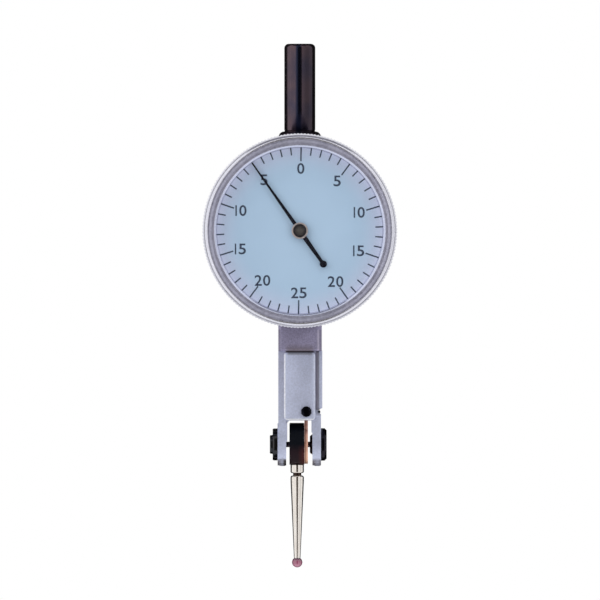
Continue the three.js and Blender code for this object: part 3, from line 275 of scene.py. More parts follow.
class StageSizes(bpy.types.PropertyGroup):
    """Camera, floor and lamps."""

    camera_distance: length("Camera distance", "From the dial to the camera", 4000)
    frame_width: length("Frame width", "Width of the picture at the object", 116.28)
    centre_x: length("Centre X", "Middle of the picture", 0.04)
    centre_z: length("Centre Z", "Middle of the picture", -49.65)
    floor_z: length("Floor", "Height of the floor", -126)
    floor_size: length("Floor size", "Width of the floor", 900)
    key_power: power("Key lamp", "Power of the left soft box", 3.5)
    fill_power: power("Fill lamp", "Power of the right soft box", 2.3)
    top_power: power("Top lamp", "Power of the overhead soft box", 1.5)
    ambient: bpy.props.FloatProperty(name="Ambient", description="Brightness of the room", default=0.75)


def in_mm(group):
    """The values of a property group, with its lengths in millimetres."""
    values = SimpleNamespace()
    for key in type(group).__annotations__:
        value = getattr(group, key)
        is_length = group.bl_rna.properties[key].unit == "LENGTH"
        setattr(values, key, value / MM if is_length else value)
    return values


def math_step(operation, reflected=False):
    """A Python operator that adds one Math node."""
    def step(self, other):
        return self.sum(operation, *((other, self) if reflected else (self, other)))
    return step


class Amount:
    """A number in a node tree. Sums on it add Math nodes."""

    def __init__(self, nodes, socket):
        self.nodes = nodes
        self.socket = socket

    def sum(self, operation, *values):
        """The result of one Math node on the given values."""
        return self.nodes.node("ShaderNodeMath", {"operation": operation}, dict(enumerate(values)))

    __add__ = math_step("ADD")
    __radd__ = math_step("ADD", reflected=True)
    __sub__ = math_step("SUBTRACT")
    __rsub__ = math_step("SUBTRACT", reflected=True)
    __mul__ = math_step("MULTIPLY")
    __rmul__ = math_step("MULTIPLY", reflected=True)
    __truediv__ = math_step("DIVIDE")
    __rtruediv__ = math_step("DIVIDE", reflected=True)

    def clamped(self):
        """The value held between 0 and 1."""
        total = self.sum("ADD", self, 0)
        total.socket.node.use_clamp = True
        return total

    def size(self):
        """The value without its sign."""
        return self.sum("ABSOLUTE", self)

    def sine(self):
        """The sine of the value."""
        return self.sum("SINE", self)

    def root(self):
        """The square root of the value."""
        return self.sum("SQRT", self)


class Nodes:
    """A node tree under construction."""

    def __init__(self, tree, output):
        tree.nodes.clear()
        self.tree = tree
        self.output = tree.nodes.new(output)

    def node(self, kind, settings=None, inputs=None, result=0):
        """Adds a node, sets it, feeds its sockets and returns one result."""
        node = self.tree.nodes.new(kind)
        for key, value in (settings or {}).items():
            setattr(node, key, value)
        for key, value in (inputs or {}).items():
            self.feed(node.inputs[key], value)
        return Amount(self, node.outputs[result])

    def feed(self, socket, value):
        """Links or sets one socket."""
        if isinstance(value, Amount):
            self.tree.links.new(value.socket, socket)
        else:
            socket.default_value = value


class Finish(Nodes):
    """One procedural material and the nodes that it is made of."""

    def __init__(self, name):
        self.material = bpy.data.materials.new(name)
        self.material.use_nodes = True
        super().__init__(self.material.node_tree, "ShaderNodeOutputMaterial")

    def place(self):
        """The point on the object, in metres."""
        return self.node("ShaderNodeTexCoord", result="Object")

    def axes(self):
        """The point's X, Y and Z."""
        node = self.node("ShaderNodeSeparateXYZ", {}, {0: self.place()}).socket.node
        return [Amount(self, output) for output in node.outputs]

    def radius(self, centre):
        """Distance in metres from the line along Y through a centre."""
        x, _, z = self.axes()
        side = x - centre.x * MM
        rise = z - centre.z * MM
        return (side * side + rise * rise).root()

    def noise(self, size, detail=2.0, roughness=0.5, vector=None):
        """Smooth noise with features of about the given size."""
        inputs = {
            "Vector": vector or self.place(),
            "Scale": 1 / (size * MM),
            "Detail": detail,
            "Roughness": roughness,
        }
        return self.node("ShaderNodeTexNoise", {}, inputs, "Fac")

    def grain(self, stretch, size, detail=2.0):
        """Noise drawn out along Z, as on a ground surface."""
        inputs = {"Vector": self.place(), "Scale": (1.0, 1.0, stretch)}
        return self.noise(size, detail, 0.6, self.node("ShaderNodeMapping", {}, inputs))

    def span(self, value, low, high, to_low, to_high):
        """The value moved from one span to another and held there."""
        inputs = {"Value": value, "From Min": low, "From Max": high, "To Min": to_low, "To Max": to_high}
        return self.node("ShaderNodeMapRange", {"clamp": True}, inputs)

    def rise(self, place, low, high, top=1.0):
        """A mask that rises from 0 to its top between two places."""
        return self.span(place, low * MM, high * MM, 0.0, top)

    def fall(self, place, low, high, top=1.0):
        """A mask that falls from its top to 0 between two places."""
        return self.span(place, low * MM, high * MM, top, 0.0)

    def vary(self, noise, low=0.0, high=1.0, spread=0.2):
        """A noise that goes spread away from its mean, moved to a span from low to high."""
        return self.span(noise, 0.5 - spread, 0.5 + spread, low, high)

    def blend(self, share, first, second, kind="MIX"):
        """A colour between two colours, or another kind of mix of them."""
        settings = {"data_type": "RGBA", "blend_type": kind}
        inputs = {0: share, MIX_FIRST: first, MIX_SECOND: second}
        return self.node("ShaderNodeMix", settings, inputs, MIX_RESULT)

    def coats(self, tone, *coats):
        """A colour under coats, each of them a share and a colour."""
        for share, coat in coats:
            tone = self.blend(share, tone, coat)
        return tone

    def multiply(self, first, second):
        """One colour times another."""
        return self.blend(1.0, first, second, "MULTIPLY")

    def mottled(self, tone, share, low, high):
        """A colour made darker and lighter by a share."""
        return self.multiply(tone, self.blend(share, grey(low), grey(high)))

    def bump(self, height, depth, strength):
        """A normal from a height, which is a share of the given depth."""
        inputs = {"Height": height, "Distance": depth * MM, "Strength": strength}
        return self.node("ShaderNodeBump", {}, inputs)

    def coat(self, tone, uneven, rough, depth, strength, **sockets):
        """A surface whose roughness, from least to most, and whose fine relief follow one pattern."""
        relief = self.bump(uneven, depth, strength)
        return self.surface(
            Base_Color=tone, Roughness=self.vary(uneven, *rough), Normal=relief, **sockets)

    def surface(self, **sockets):
        """The surface shader. Names are socket names with underscores."""
        inputs = {key.replace("_", " "): value for key, value in sockets.items()}
        self.feed(self.output.inputs["Surface"], self.node("ShaderNodeBsdfPrincipled", {}, inputs))
        return self.material


def satin_plate(finish, tint, zones=None):
    """Satin chrome over fine blasting: a soft grain, faint clouds and slightly uneven gloss."""
    clouds = finish.noise(3.2, detail=3.0)
    speck = finish.noise(0.34, roughness=0.7)
    fine = finish.noise(0.11, detail=1.0)
    uneven = finish.vary(clouds * 0.3 + speck * 0.7, spread=0.14)
    tone = zones(finish, tint) if zones else tint
    return finish.surface(
        Base_Color=finish.mottled(tone, uneven, 0.86, 1.05),
        Metallic=0.55,
        Roughness=finish.vary(clouds, 0.4, 0.52),
        Normal=finish.bump(speck * 0.6 + fine * 0.4, depth=0.012, strength=0.6),
    )


def case_zones(finish, tint):
    """Purple-grey drum and boss, a bar that pales towards the fork, and painted shade and light: shade on
    the ears' round ends, over the front cover and round the dowel, and shade and a highlight on the boss.
    """
    x, y, z = finish.axes()
    side = x.size()
    drum_tint = bpy.context.scene.indicator_body.drum
    in_front = finish.fall(y, -3.0, -1.0)

    bar = finish.rise(z, COVER_LOW.z, BOSS_END)
    from_middle = (side - EAR_MIDDLE * MM).size() / (EAR_HALF * MM)
    crowned = z + from_middle * (0.3 * MM)
    # Painted shade on the ears' crowned round ends, weaker in the middle of each ear
    ends = finish.fall(crowned, BODY_LOW.z + 1.2, BODY_LOW.z + 1.7)
    ends = ends * finish.span(from_middle, 0.0, 1.0, 0.3, 0.8)
    left_inner = finish.rise(x, -3.35, -3.0) * finish.fall(x, -2.0, 0.0)
    over_cover = finish.rise(z, COVER_HIGH.z - 0.4, COVER_HIGH.z - 0.25) * finish.fall(side, 2.6, 2.9)
    # Painted shade on the case round the dowel
    round_dowel = finish.fall(finish.radius(DOWEL_CENTRE), 0.3, 0.95, 0.55)
    tone = finish.coats(
        tint,
        (bar, mixed(tint, drum_tint, 0.35)),
        (ends, EAR_END_SHADE),
        ((ends * left_inner * 1.6).clamped(), EAR_SHADE),
        (over_cover * in_front, GAP_SHADE),
        (round_dowel * in_front, DOWEL_SHADE),
    )

    on_front = finish.fall(y, BAR_FRONT - 0.8, BAR_FRONT - 0.4)
    below_drum = finish.fall(z, BEZEL_LOW.z - 0.3, BEZEL_LOW.z) * on_front
    # Painted shade along the boss's side edges, below the drum
    edges = finish.rise(side, 3.58, 3.78, 0.42)
    # Painted highlight streak near the boss's right edge
    boss_highlight = finish.fall((x - 3.55 * MM).size(), 0.12, 0.24, 0.5)
    foot = finish.fall(z, BOSS_END, BOSS_END + 1.5) * finish.fall(side, 2.2, 3.0, 0.8)
    mottle = finish.vary(finish.noise(0.28, roughness=0.7), spread=0.14)
    # The drum and boss: partly a darker plating and partly painted shade under the bezel
    boss = finish.coats(
        finish.mottled(drum_tint, mottle, 0.84, 1.14),
        (below_drum * edges, BOSS_EDGE_SHADE),
        (below_drum * boss_highlight, BOSS_PAINTED_HIGHLIGHT),
        (foot * in_front, BOSS_FOOT),
    )
    return finish.blend(finish.rise(z, BOSS_END - 0.05, BOSS_END + 0.05), tone, boss)


def cover_zones(finish, tint):
    """A cover with a painted highlight on its broken edges, strong on the left and the foot and faint on
    the right, and painted shade along its top.
    """
    x, _, z = finish.axes()
    highlight_width = 0.36
    inner = highlight_width * 0.8
    left = finish.fall(x, COVER_LOW.x + inner, COVER_LOW.x + highlight_width)
    right = finish.rise(x, COVER_HIGH.x - highlight_width, COVER_HIGH.x - inner, 0.25)
    foot = finish.fall(z, COVER_LOW.z + inner, COVER_LOW.z + highlight_width)
    shaded = finish.rise(z, COVER_HIGH.z - 0.75, COVER_HIGH.z - 0.45, 0.6)
    shaded = shaded * finish.fall((x - 0.05 * MM).size(), 2.2, 2.6)
    # Painted highlight on the broken edges, and painted shade under the boss along the top
    return finish.coats(
        tint, ((left + right + foot).clamped(), mixed(tint, WHITE, 0.6)), (shaded, COVER_SHADE))


def slit_zones(finish, tint):
    """Painted shade that fades out of the slit beside the side cover."""
    x = finish.axes()[0]
    return finish.blend(finish.fall(x, SIDE_LOW.x - 0.1, SIDE_LOW.x + 0.25), tint, SLIT_SHADE)


def turned_satin(finish, group):
    """Bezel: a satin face with fine turned grooves, a polished bevel and shoulder, and a pale grip."""
    sizes = in_mm(group)
    radius = finish.radius(DIAL_CENTRE)
    y = finish.axes()[1]
    bevel_end = sizes.window + sizes.inner_bevel
    shoulder_start = sizes.ring_radius - sizes.shoulder
    shoulder_end = BEZEL_LOW.y + sizes.shoulder
    grip_front = BEZEL_HIGH.y - sizes.grip_width

    front = 1 - finish.rise(y, shoulder_end, shoulder_end + 0.3)
    bevel = finish.fall(radius, bevel_end - 0.06, bevel_end + 0.08)
    shoulder = finish.rise(radius, shoulder_start - 0.02, shoulder_start + 0.12) * front
    # Painted light: the shoulder's outer edge takes the grip's pale colour, which lifts the shade there
    brink_light = finish.rise(radius, sizes.ring_radius - 0.12, sizes.ring_radius - 0.04) * front
    grip = finish.rise(radius, sizes.ring_radius + 0.02, sizes.ring_radius + 0.08)
    grip = grip * finish.fall(y, grip_front + 0.4, grip_front + 0.7)
    grip = (grip + brink_light).clamped()
    polish = (bevel + shoulder - grip * 0.7).clamped()

    pitch = 0.16
    groove = (radius * (math.tau / (pitch * MM))).sine() * 0.5 + 0.5
    speck = finish.noise(0.4, roughness=0.7)
    clouds = finish.noise(4.0)
    # Painted highlight: the satin is lighter along the low bead
    bead_highlight = finish.fall((radius - sizes.bead_radius * MM).size(), 0.1, 0.36, 0.42)
    uneven = finish.vary(speck * 0.7 + clouds * 0.3, 0.0, 0.58, spread=0.14) + bead_highlight
    satin = finish.coats(
        mixed(sizes.metal, SATIN_DARK, 0.42), (uneven, mixed(sizes.metal, WHITE, 0.09)), (grip, GRIP_PALE))
    bright = finish.blend(bevel, sizes.polish, mixed(sizes.polish, BEVEL_BLUE, 0.5))
    height = (groove * 0.35 + speck * 0.65) * (1 - polish * 0.8)
    return finish.surface(
        Base_Color=finish.blend(polish, satin, bright),
        Metallic=polish * 0.3 + 0.6 - grip * 0.5,
        Roughness=finish.vary(speck, 0.34, 0.46) - polish * 0.2 + grip * 0.2,
        Normal=finish.bump(height, depth=0.012, strength=0.55),
    )


def stem_zones(finish, tone):
    """Painted light on the stem: a navy stripe down the front that stands for a dark reflection, and a
    right side painted darker as shade.
    """
    x = finish.axes()[0]
    # Painted shade on the right side and a painted dark reflection down the front
    right = finish.rise(x, 0.2, 0.8)
    reflection_stripe = finish.fall((x + 0.25 * MM).size(), 0.34, 0.66)
    return finish.coats(tone, (right, finish.multiply(tone, grey(0.55))), (reflection_stripe, STEM_REFLECTION_NAVY))


def black_oxide(finish, tint, warm, zones=None):
    """Polished blackened steel: navy under brown clouds, a clear sheen and faint rub marks."""
    clouds = finish.noise(5.0)
    lines = finish.grain(0.12, 0.12)
    tone = finish.blend(finish.vary(clouds, spread=0.15), tint, warm)
    return finish.coat(
        zones(finish, tone) if zones else tone, lines, (0.15, 0.22), depth=0.002, strength=0.3,
        Metallic=0.95, Specular_IOR_Level=0.3)


def holder_black(finish):
    """Black of the stylus holder: navy above the pivot, and below it a painted brown reflection that turns
    redder towards the lever's side, with a dull sheen.
    """
    x, _, z = finish.axes()
    clouds = finish.noise(1.8)
    speck = finish.noise(0.25)
    ragged = z + (clouds - 0.5) * (1.6 * MM)
    # Painted reflection: brown below the pivot, redder towards the lever
    lower_reflection = finish.fall(ragged, PIVOT_CENTRE.z - 1.6, PIVOT_CENTRE.z + 0.2)
    lever_reflection = lower_reflection * finish.rise(x, -0.4, 0.85, 0.55)
    base = finish.coats(HOLDER_NAVY, (lower_reflection, HOLDER_REFLECTION_BROWN), (lever_reflection, HOLDER_REFLECTION_RED))
    return finish.coat(
        finish.mottled(base, speck, 0.8, 1.15), speck, (0.5, 0.6), depth=0.004, strength=0.3,
        Metallic=0.3, Specular_IOR_Level=0.15)


def bright_steel(finish, tint):
    """Ground steel with faint grinding lines and smears."""
    lines = finish.grain(0.08, 0.09, detail=1.0)
    smear = finish.vary(finish.noise(1.6), spread=0.15)
    tone = finish.blend(smear, mixed(tint, BLACK, 0.1), tint)
    return finish.coat(tone, lines, (0.14, 0.24), depth=0.003, strength=0.4, Metallic=0.95)


def polished_steel(finish, tint):
    """Mirror polished steel of the stylus, warmer along its smears, darker in the neck and darker from the
    holder's lower face up.
    """
    z = finish.axes()[2]
    smear = finish.grain(0.15, 0.5)
    neck = finish.fall(z, SOCKET_LOW.z - 0.02, SOCKET_LOW.z + 0.04)
    neck = neck * finish.rise(z, SOCKET_LOW.z - 0.52, SOCKET_LOW.z - 0.44)
    under_holder = finish.rise(z, HOLDER_LOW.z - 0.03, HOLDER_LOW.z + 0.01)
    steel = finish.coats(
        mixed(tint, STEEL_WARM, 0.35),
        (finish.vary(smear, spread=0.15), tint),
        (under_holder, STEEL_IN_HOLDER),
        (neck, NECK_DARK),
    )
    return finish.coat(steel, smear, (0.14, 0.18), depth=0.0004, strength=0.2, Metallic=1.0)


def lever_copper(finish, tint):
    """Drive lever: a browned left edge, a dark line and a bright coppery right edge, with painted shade
    that makes it darker and pinker towards the top, under the front cover.
    """
    x, _, z = finish.axes()
    middle = LEVER_LOW.x + (LEVER_HIGH.x - LEVER_LOW.x) * 0.42
    line = 1 - finish.rise((x - middle * MM).size(), 0.03, 0.09)
    tarnish = finish.noise(0.7, detail=3.0)
    tone = finish.coats(
        tint,
        # Painted shade, darker and pinker towards the top under the front cover
        (finish.rise(z, LEVER_LOW.z, PIVOT_CENTRE.z + 4.2), LEVER_TOP_SHADE),
        (finish.fall(x, middle - 0.03, middle + 0.03) * 0.6, LEVER_BROWN),
        (line * 0.7, LEVER_LINE),
    )
    return finish.coat(
        finish.mottled(tone, tarnish, 0.8, 1.2), tarnish, (0.36, 0.5), depth=0.004, strength=0.4,
        Metallic=0.4)


def rolled_metal(finish, tint, rough):
    """Rolled brass or copper sheet: streaks along the sheet and a slight tarnish."""
    streaks = finish.grain(0.1, 0.15)
    tarnish = finish.noise(2.4, detail=3.0)
    share = finish.vary(tarnish * 0.6 + streaks * 0.4, spread=0.16)
    tone = finish.blend(share, mixed(tint, SHEET_TARNISH, 0.3), tint)
    return finish.coat(tone, streaks, (rough, rough + 0.12), depth=0.005, strength=0.5, Metallic=0.85)


def ruby_stone(finish, tint):
    """Polished synthetic ruby with faint growth clouds, and painted light: a paler pink foot, painted shade
    round its outline and a painted reflection of the steel at its top.
    """
    z = finish.axes()[2]
    clouds = finish.noise(0.7, detail=1.0)
    middle = (BALL_LOW + BALL_HIGH) / 2
    stone = finish.coats(
        mixed(tint, BLACK, 0.15),
        (finish.vary(clouds), tint),
        # Painted light at the foot, painted shade round the outline and a painted reflection of the steel
        # at the top
        (finish.fall(z, BALL_LOW.z + 0.25, BALL_LOW.z + 0.85), RUBY_FOOT_LIGHT),
        (finish.rise(finish.radius(middle), 0.62, 0.95, 0.4), RUBY_RIM_SHADE),
        (finish.rise(z, BALL_LOW.z + 1.1, BALL_LOW.z + 1.75, 0.9), RUBY_STEEL_REFLECTION),
    )
    return finish.surface(
        Base_Color=stone,
        Roughness=finish.vary(clouds, 0.05, 0.1),
        Coat_Weight=0.6,
        IOR=1.77,
        Subsurface_Weight=0.15,
        Subsurface_Radius=(0.0006, 0.0002, 0.0003),
    )


def dial_enamel(finish, tint):
    """Matte pale blue enamel, more violet towards the rim and painted paler there against the bezel's
    shade, with a painted shadow of the bezel's lip at its edge and a very fine tooth.
    """
    radius = finish.radius(DIAL_CENTRE)
    rim = finish.rise(radius, 11.0, 16.3)
    tooth = finish.noise(0.12)
    clouds = finish.noise(6.0)
    base = finish.coats(
        tint,
        # Violet tint and painted light towards the rim, and the lip's painted shadow at the edge
        (rim * rim, DIAL_RIM_LIGHTENED),
        (finish.rise(radius, 15.9, 16.05, 0.55), DIAL_EDGE_SHADOW),
        (finish.vary(clouds * 0.5 + tooth * 0.5, 0.0, 0.06, spread=0.15), DIAL_CLOUD),
    )
    return finish.coat(base, tooth, (0.55, 0.68), depth=0.004, strength=0.4)


def plain_coat(finish, dark, pale, grain, rough, depth, **sockets):
    """A coat between two colours with a fine grain."""
    uneven = finish.noise(grain)
    tone = finish.blend(finish.vary(uneven), dark, pale)
    return finish.coat(tone, uneven, rough, depth, strength=0.3, **sockets)


def dial_ink(finish, tint):
    """Printed ink, a little uneven."""
    return plain_coat(finish, tint, mixed(tint, INK_WORN, 0.06), 0.25, (0.5, 0.65), 0.003)


def pale_rubber(finish):
    """Pale gasket, matte with a fine grain."""
    return plain_coat(finish, GASKET_DARK, GASKET_PALE, 0.2, (0.35, 0.5), 0.004)


def hand_black(finish):
    """Blackened pointer with a soft sheen."""
    return plain_coat(
        finish, HAND_DARK, HAND_PALE, 0.5, (0.42, 0.55), 0.003, Specular_IOR_Level=0.12)


def crystal_clear(finish):
    """Clear crystal: nearly all light passes, and only the sheen shows."""
    smear = finish.noise(5.0)
    return finish.surface(
        Base_Color=CRYSTAL_GLASS,
        Roughness=finish.vary(smear, 0.03, 0.07),
        Alpha=finish.vary(smear, 0.02, 0.03),
        IOR=1.49,
    )


def hub_bronze(finish):
    """Pointer hub: a dark dished centre and a bright bevelled rim, by distance from the axis."""
    radius = finish.radius(DIAL_CENTRE)
    rim = finish.rise(radius, 1.27, 1.35)
    uneven = finish.noise(0.3)
    dish = finish.rise(radius + (uneven - 0.5) * (0.7 * MM), 0.35, 1.15)
    tone = finish.coats(HUB_MIDDLE, (dish, HUB_DISH), (rim, HUB_RIM))
    return finish.coat(tone, uneven, (0.3, 0.42), depth=0.003, strength=0.4, Metallic=rim * 0.7 + 0.2)


# How each finish is made. Words are properties of the scene.
MAKERS = {
    "satin_body": (satin_plate, "indicator_body.satin"),
    "satin_case": (satin_plate, "indicator_body.satin", case_zones),
    "satin_cover": (satin_plate, "indicator_body.satin", cover_zones),
    "satin_slit": (satin_plate, "indicator_body.satin", slit_zones),
    "satin_bezel": (turned_satin, "indicator_bezel"),
    "black_oxide": (black_oxide, "indicator_body.black", srgb(84, 68, 74)),
    "stem_black": (black_oxide, "indicator_body.black", srgb(94, 78, 84), stem_zones),
    "black_fitting": (black_oxide, srgb(30, 32, 42), srgb(46, 42, 46)),
    "black_nut": (black_oxide, srgb(48, 52, 58), srgb(66, 64, 66)),
    "holder_black": (holder_black,),
    "bright_steel": (bright_steel, "indicator_body.steel"),
    "polished_steel": (polished_steel, "indicator_body.polished"),
    "lever_copper": (lever_copper, "indicator_body.copper"),
    "brass": (rolled_metal, "indicator_body.brass", 0.26),
    "copper_alloy": (rolled_metal, "indicator_body.copper", 0.3),
    "ruby": (ruby_stone, "indicator_body.ruby"),
    "dial_blue": (dial_enamel, "indicator_dial.face"),
    "dial_ink": (dial_ink, "indicator_dial.ink"),
    "crystal": (crystal_clear,),
    "gasket": (pale_rubber,),
    "hand_black": (hand_black,),
    "hub_bronze": (hub_bronze,),
}
FINISHES = {}


def finish_named(name):
    """The finish of that name, made when it is first needed."""
    if name not in FINISHES:
        maker, *values = MAKERS[name]
        scene = bpy.context.scene
        values = [scene.path_resolve(value) if isinstance(value, str) else value for value in values]
        FINISHES[name] = maker(Finish(name), *values)
    return FINISHES[name]


def deselect():
    """Leaves nothing selected, in object mode."""
    if bpy.context.object and bpy.context.object.mode != "OBJECT":
        bpy.ops.object.mode_set(mode="OBJECT")
    bpy.ops.object.select_all(action="DESELECT")


def take(piece):
    """Makes a piece the only selected and active one."""
    deselect()
    piece.select_set(True)
    bpy.context.view_layer.objects.active = piece


def edit(piece):
    """Opens a piece in edit mode with everything selected."""
    take(piece)
    bpy.ops.object.mode_set(mode="EDIT")
    bpy.ops.mesh.select_all(action="SELECT")


def close_edit():
    bpy.ops.object.mode_set(mode="OBJECT")


def settle(piece, place=None, turn=None):
    """Sets a piece's place and turn, where they are given, and writes them into its mesh."""
    if place is not None:
        piece.location = Vector(place) * MM
    if turn is not None:
        piece.rotation_euler = turn
    take(piece)
    bpy.ops.object.transform_apply(location=True, rotation=True, scale=True)


def smooth(piece, angle=SHARP):
    take(piece)
    bpy.ops.object.shade_smooth_by_angle(angle=angle)


def tidy_mesh(piece):
    """Merges doubles and turns every face outwards."""
    edit(piece)
    bpy.ops.mesh.remove_doubles(threshold=MERGE)
    bpy.ops.mesh.normals_make_consistent(inside=False)
    close_edit()


def turned(name, stations, axis, centre, sides=ROUND, loop=False, flutes=1.0):
    """A turned piece. A circle is drawn out through stations of radius and place along the axis.

    A loop comes back to its first station. Flutes is the share of the radius that every second point keeps.
    """
    deselect()
    radius, along = stations[0]
    bpy.ops.mesh.primitive_circle_add(
        vertices=sides, radius=radius * MM, fill_type="NOTHING" if loop else "NGON",
        location=(0, 0, along * MM))
    piece = bpy.context.object
    piece.name = name
    if flutes != 1.0:
        pull_alternate(piece, flutes)
    edit(piece)
    draw_out = bpy.ops.mesh.extrude_edges_move if loop else bpy.ops.mesh.extrude_region_move
    for next_radius, next_along in stations[1:] + (stations[:1] if loop else []):
        draw_out(TRANSFORM_OT_translate={"value": (0, 0, (next_along - along) * MM)})
        share = next_radius / radius
        bpy.ops.transform.resize(value=(share, share, 1), center_override=(0, 0, next_along * MM))
        radius, along = next_radius, next_along
    close_edit()
    settle(piece)
    tidy_mesh(piece)
    settle(piece, centre, (-QUARTER if axis == "Y" else 0, 0, 0))
    smooth(piece)
    return piece


def disc(name, radius, low, high, edge, centre, sides):
    """A turned disc along Y with broken edges."""
    stations = [(radius - edge, low), (radius, low + edge), (radius, high - edge), (radius - edge, high)]
    return turned(name, stations, "Y", centre, sides)


def pull_alternate(piece, share):
    """Draws every second point of a circle in towards its middle."""
    seconds = {vertex.co.to_tuple() for vertex in list(piece.data.vertices)[::2]}
    grow_part(piece, lambda point: point.to_tuple() in seconds, (share, share, 1), piece.location / MM)


def arc(centre_radius, centre_along, radius, start, end, steps=8):
    """Stations along a round corner, by angle in degrees from the radial direction."""
    points = []
    for step in range(steps + 1):
        angle = math.radians(start + (end - start) * step / steps)
        points.append((centre_radius + radius * math.cos(angle), centre_along + radius * math.sin(angle)))
    return points


def copy_node(node, edge=0):
    """A smooth copy of a CAD node with its edges broken."""
    take(frame["nodes"][node])
    bpy.ops.object.duplicate()
    piece = bpy.context.object
    piece.name = node + "_finished"
    piece.data.name = piece.name
    for key in [key for key in piece.keys() if key.startswith("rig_")]:
        del piece[key]
    piece.parent = None
    edit(piece)
    bpy.ops.mesh.remove_doubles(threshold=MERGE)
    bpy.ops.mesh.dissolve_limited(angle_limit=math.radians(1))
    close_edit()
    if bpy.ops.mesh.customdata_custom_splitnormals_clear.poll():
        bpy.ops.mesh.customdata_custom_splitnormals_clear()
    if edge:
        break_edges(piece, edge)
    smooth(piece)
    return piece


def break_edges(piece, width, segments=2):
    """Rounds the sharp edges of a piece."""
    take(piece)
    bevel = piece.modifiers.new("edges", "BEVEL")
    bevel.width = width * MM
    bevel.segments = segments
    bevel.limit_method = "ANGLE"
    bevel.angle_limit = SHARP
    bpy.ops.object.modifier_apply(modifier=bevel.name)


def select_points(piece, test):
    """Leaves only the points that pass a test selected, in point mode."""
    edit(piece)
    bpy.ops.mesh.select_mode(type="VERT")
    bpy.ops.mesh.select_all(action="DESELECT")
    close_edit()
    for vertex in piece.data.vertices:
        vertex.select = test(vertex.co)


def move_part(piece, test, offset):
    """Moves the points that pass a test."""
    select_points(piece, test)
    bpy.ops.object.mode_set(mode="EDIT")
    bpy.ops.transform.translate(value=Vector(offset) * MM)
    close_edit()


def grow_part(piece, test, share, centre):
    """Draws the points that pass a test away from a centre by a share along each axis."""
    select_points(piece, test)
    bpy.ops.object.mode_set(mode="EDIT")
    bpy.ops.transform.resize(value=share, center_override=Vector(centre) * MM)
    close_edit()


def block(name, low, high):
    """A block between two corners."""
    deselect()
    bpy.ops.mesh.primitive_cube_add(size=1, location=(Vector(low) + Vector(high)) / 2 * MM)
    piece = bpy.context.object
    piece.name = name
    piece.scale = (Vector(high) - Vector(low)) * MM
    settle(piece)
    return piece


def join(pieces, name):
    """Joins pieces into the first."""
    take(pieces[0])
    for piece in pieces:
        piece.select_set(True)
    bpy.ops.object.join()
    pieces[0].name = name
    return pieces[0]


def dress(piece, body, slot, finish=None, nodes=()):
    """Gives a piece its finish, its body, its slot and the CAD nodes it stands for."""
    piece.data.materials.clear()
    piece.data.materials.append(finish_named(finish or slot))
    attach(piece, body)
    if nodes:
        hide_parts(*nodes)
    deselect()


def slot_of(node):
    """The record's slot of a CAD node."""
    return next(part["material_slot"] for part in frame["record"]["subparts"] if part["node"] == node)


def dress_as(node, piece, finish=None):
    """Dresses a piece that stands for a CAD node, with the node's body and slot."""
    bodies = frame["record"]["behaviour"]["bodies"]
    body = next(body for body, nodes in bodies.items() if node in nodes)
    dress(piece, body, slot_of(node), finish, (node,))


def dress_copy(node, edge, finish=None):
    """A smooth copy of a CAD node that stands for it."""
    dress_as(node, copy_node(node, edge), finish)


class INDICATOR_OT_bezel(bpy.types.Operator):
    """Turns the bezel ring and its serrated grip"""

    bl_idname = "indicator.bezel"
    bl_label = "Bezel"

    def execute(self, context):
        sizes = in_mm(context.scene.indicator_bezel)
        front = BEZEL_LOW.y
        back = BEZEL_HIGH.y
        lip = corners("crystal")[0].y
        grip_front = back - sizes.grip_width
        outer = sizes.ring_radius
        bore = DIAL_HIGH.x + 0.1
        bevel_end = sizes.window + sizes.inner_bevel
        shoulder = sizes.shoulder
        window = sizes.window
        ring = turned("bezel_ring", [
            (window, lip), (window, front + 0.28), (window + 0.04, front + 0.24),
            (bevel_end - 0.08, front + 0.03), (bevel_end + 0.04, front), (bevel_end + 0.14, front),
            *self.bead(sizes, front), (outer - shoulder - 0.12, front + sizes.bead_height),
            *arc(outer - shoulder, front + shoulder, shoulder, -100, 0, 10),
            (outer, grip_front - 0.2), (outer - 0.3, grip_front), (outer - 0.8, grip_front + 0.1),
            (outer - 0.8, back - 0.1), (bore, back - 0.1), (bore, lip),
        ], "Y", DIAL_CENTRE, FINE, loop=True)
        tip = BEZEL_HIGH.x - 0.12
        core = outer - 1.2
        grip = turned("bezel_grip", [
            (tip - 0.42, grip_front), (tip - 0.1, grip_front + 0.22), (tip, grip_front + 0.45),
            (tip, back - 0.3), (tip - 0.35, back), (core, back), (core, grip_front),
        ], "Y", DIAL_CENTRE, sizes.serrations * 2, loop=True, flutes=1 - sizes.serration_depth / tip)
        bezel = join([ring, grip], "bezel_turned")
        smooth(bezel)
        dress_as("bezel", bezel)
        return {"FINISHED"}

    def bead(self, sizes, front):
        """Stations over the low round bead on the ring's face."""
        steps = 8
        points = []
        for step in range(steps + 1):
            share = 2 * step / steps - 1
            fall = sizes.bead_height * (1 - math.cos(math.pi * share)) / 2
            points.append((sizes.bead_radius + share * sizes.bead_width / 2, front + fall))
        return points


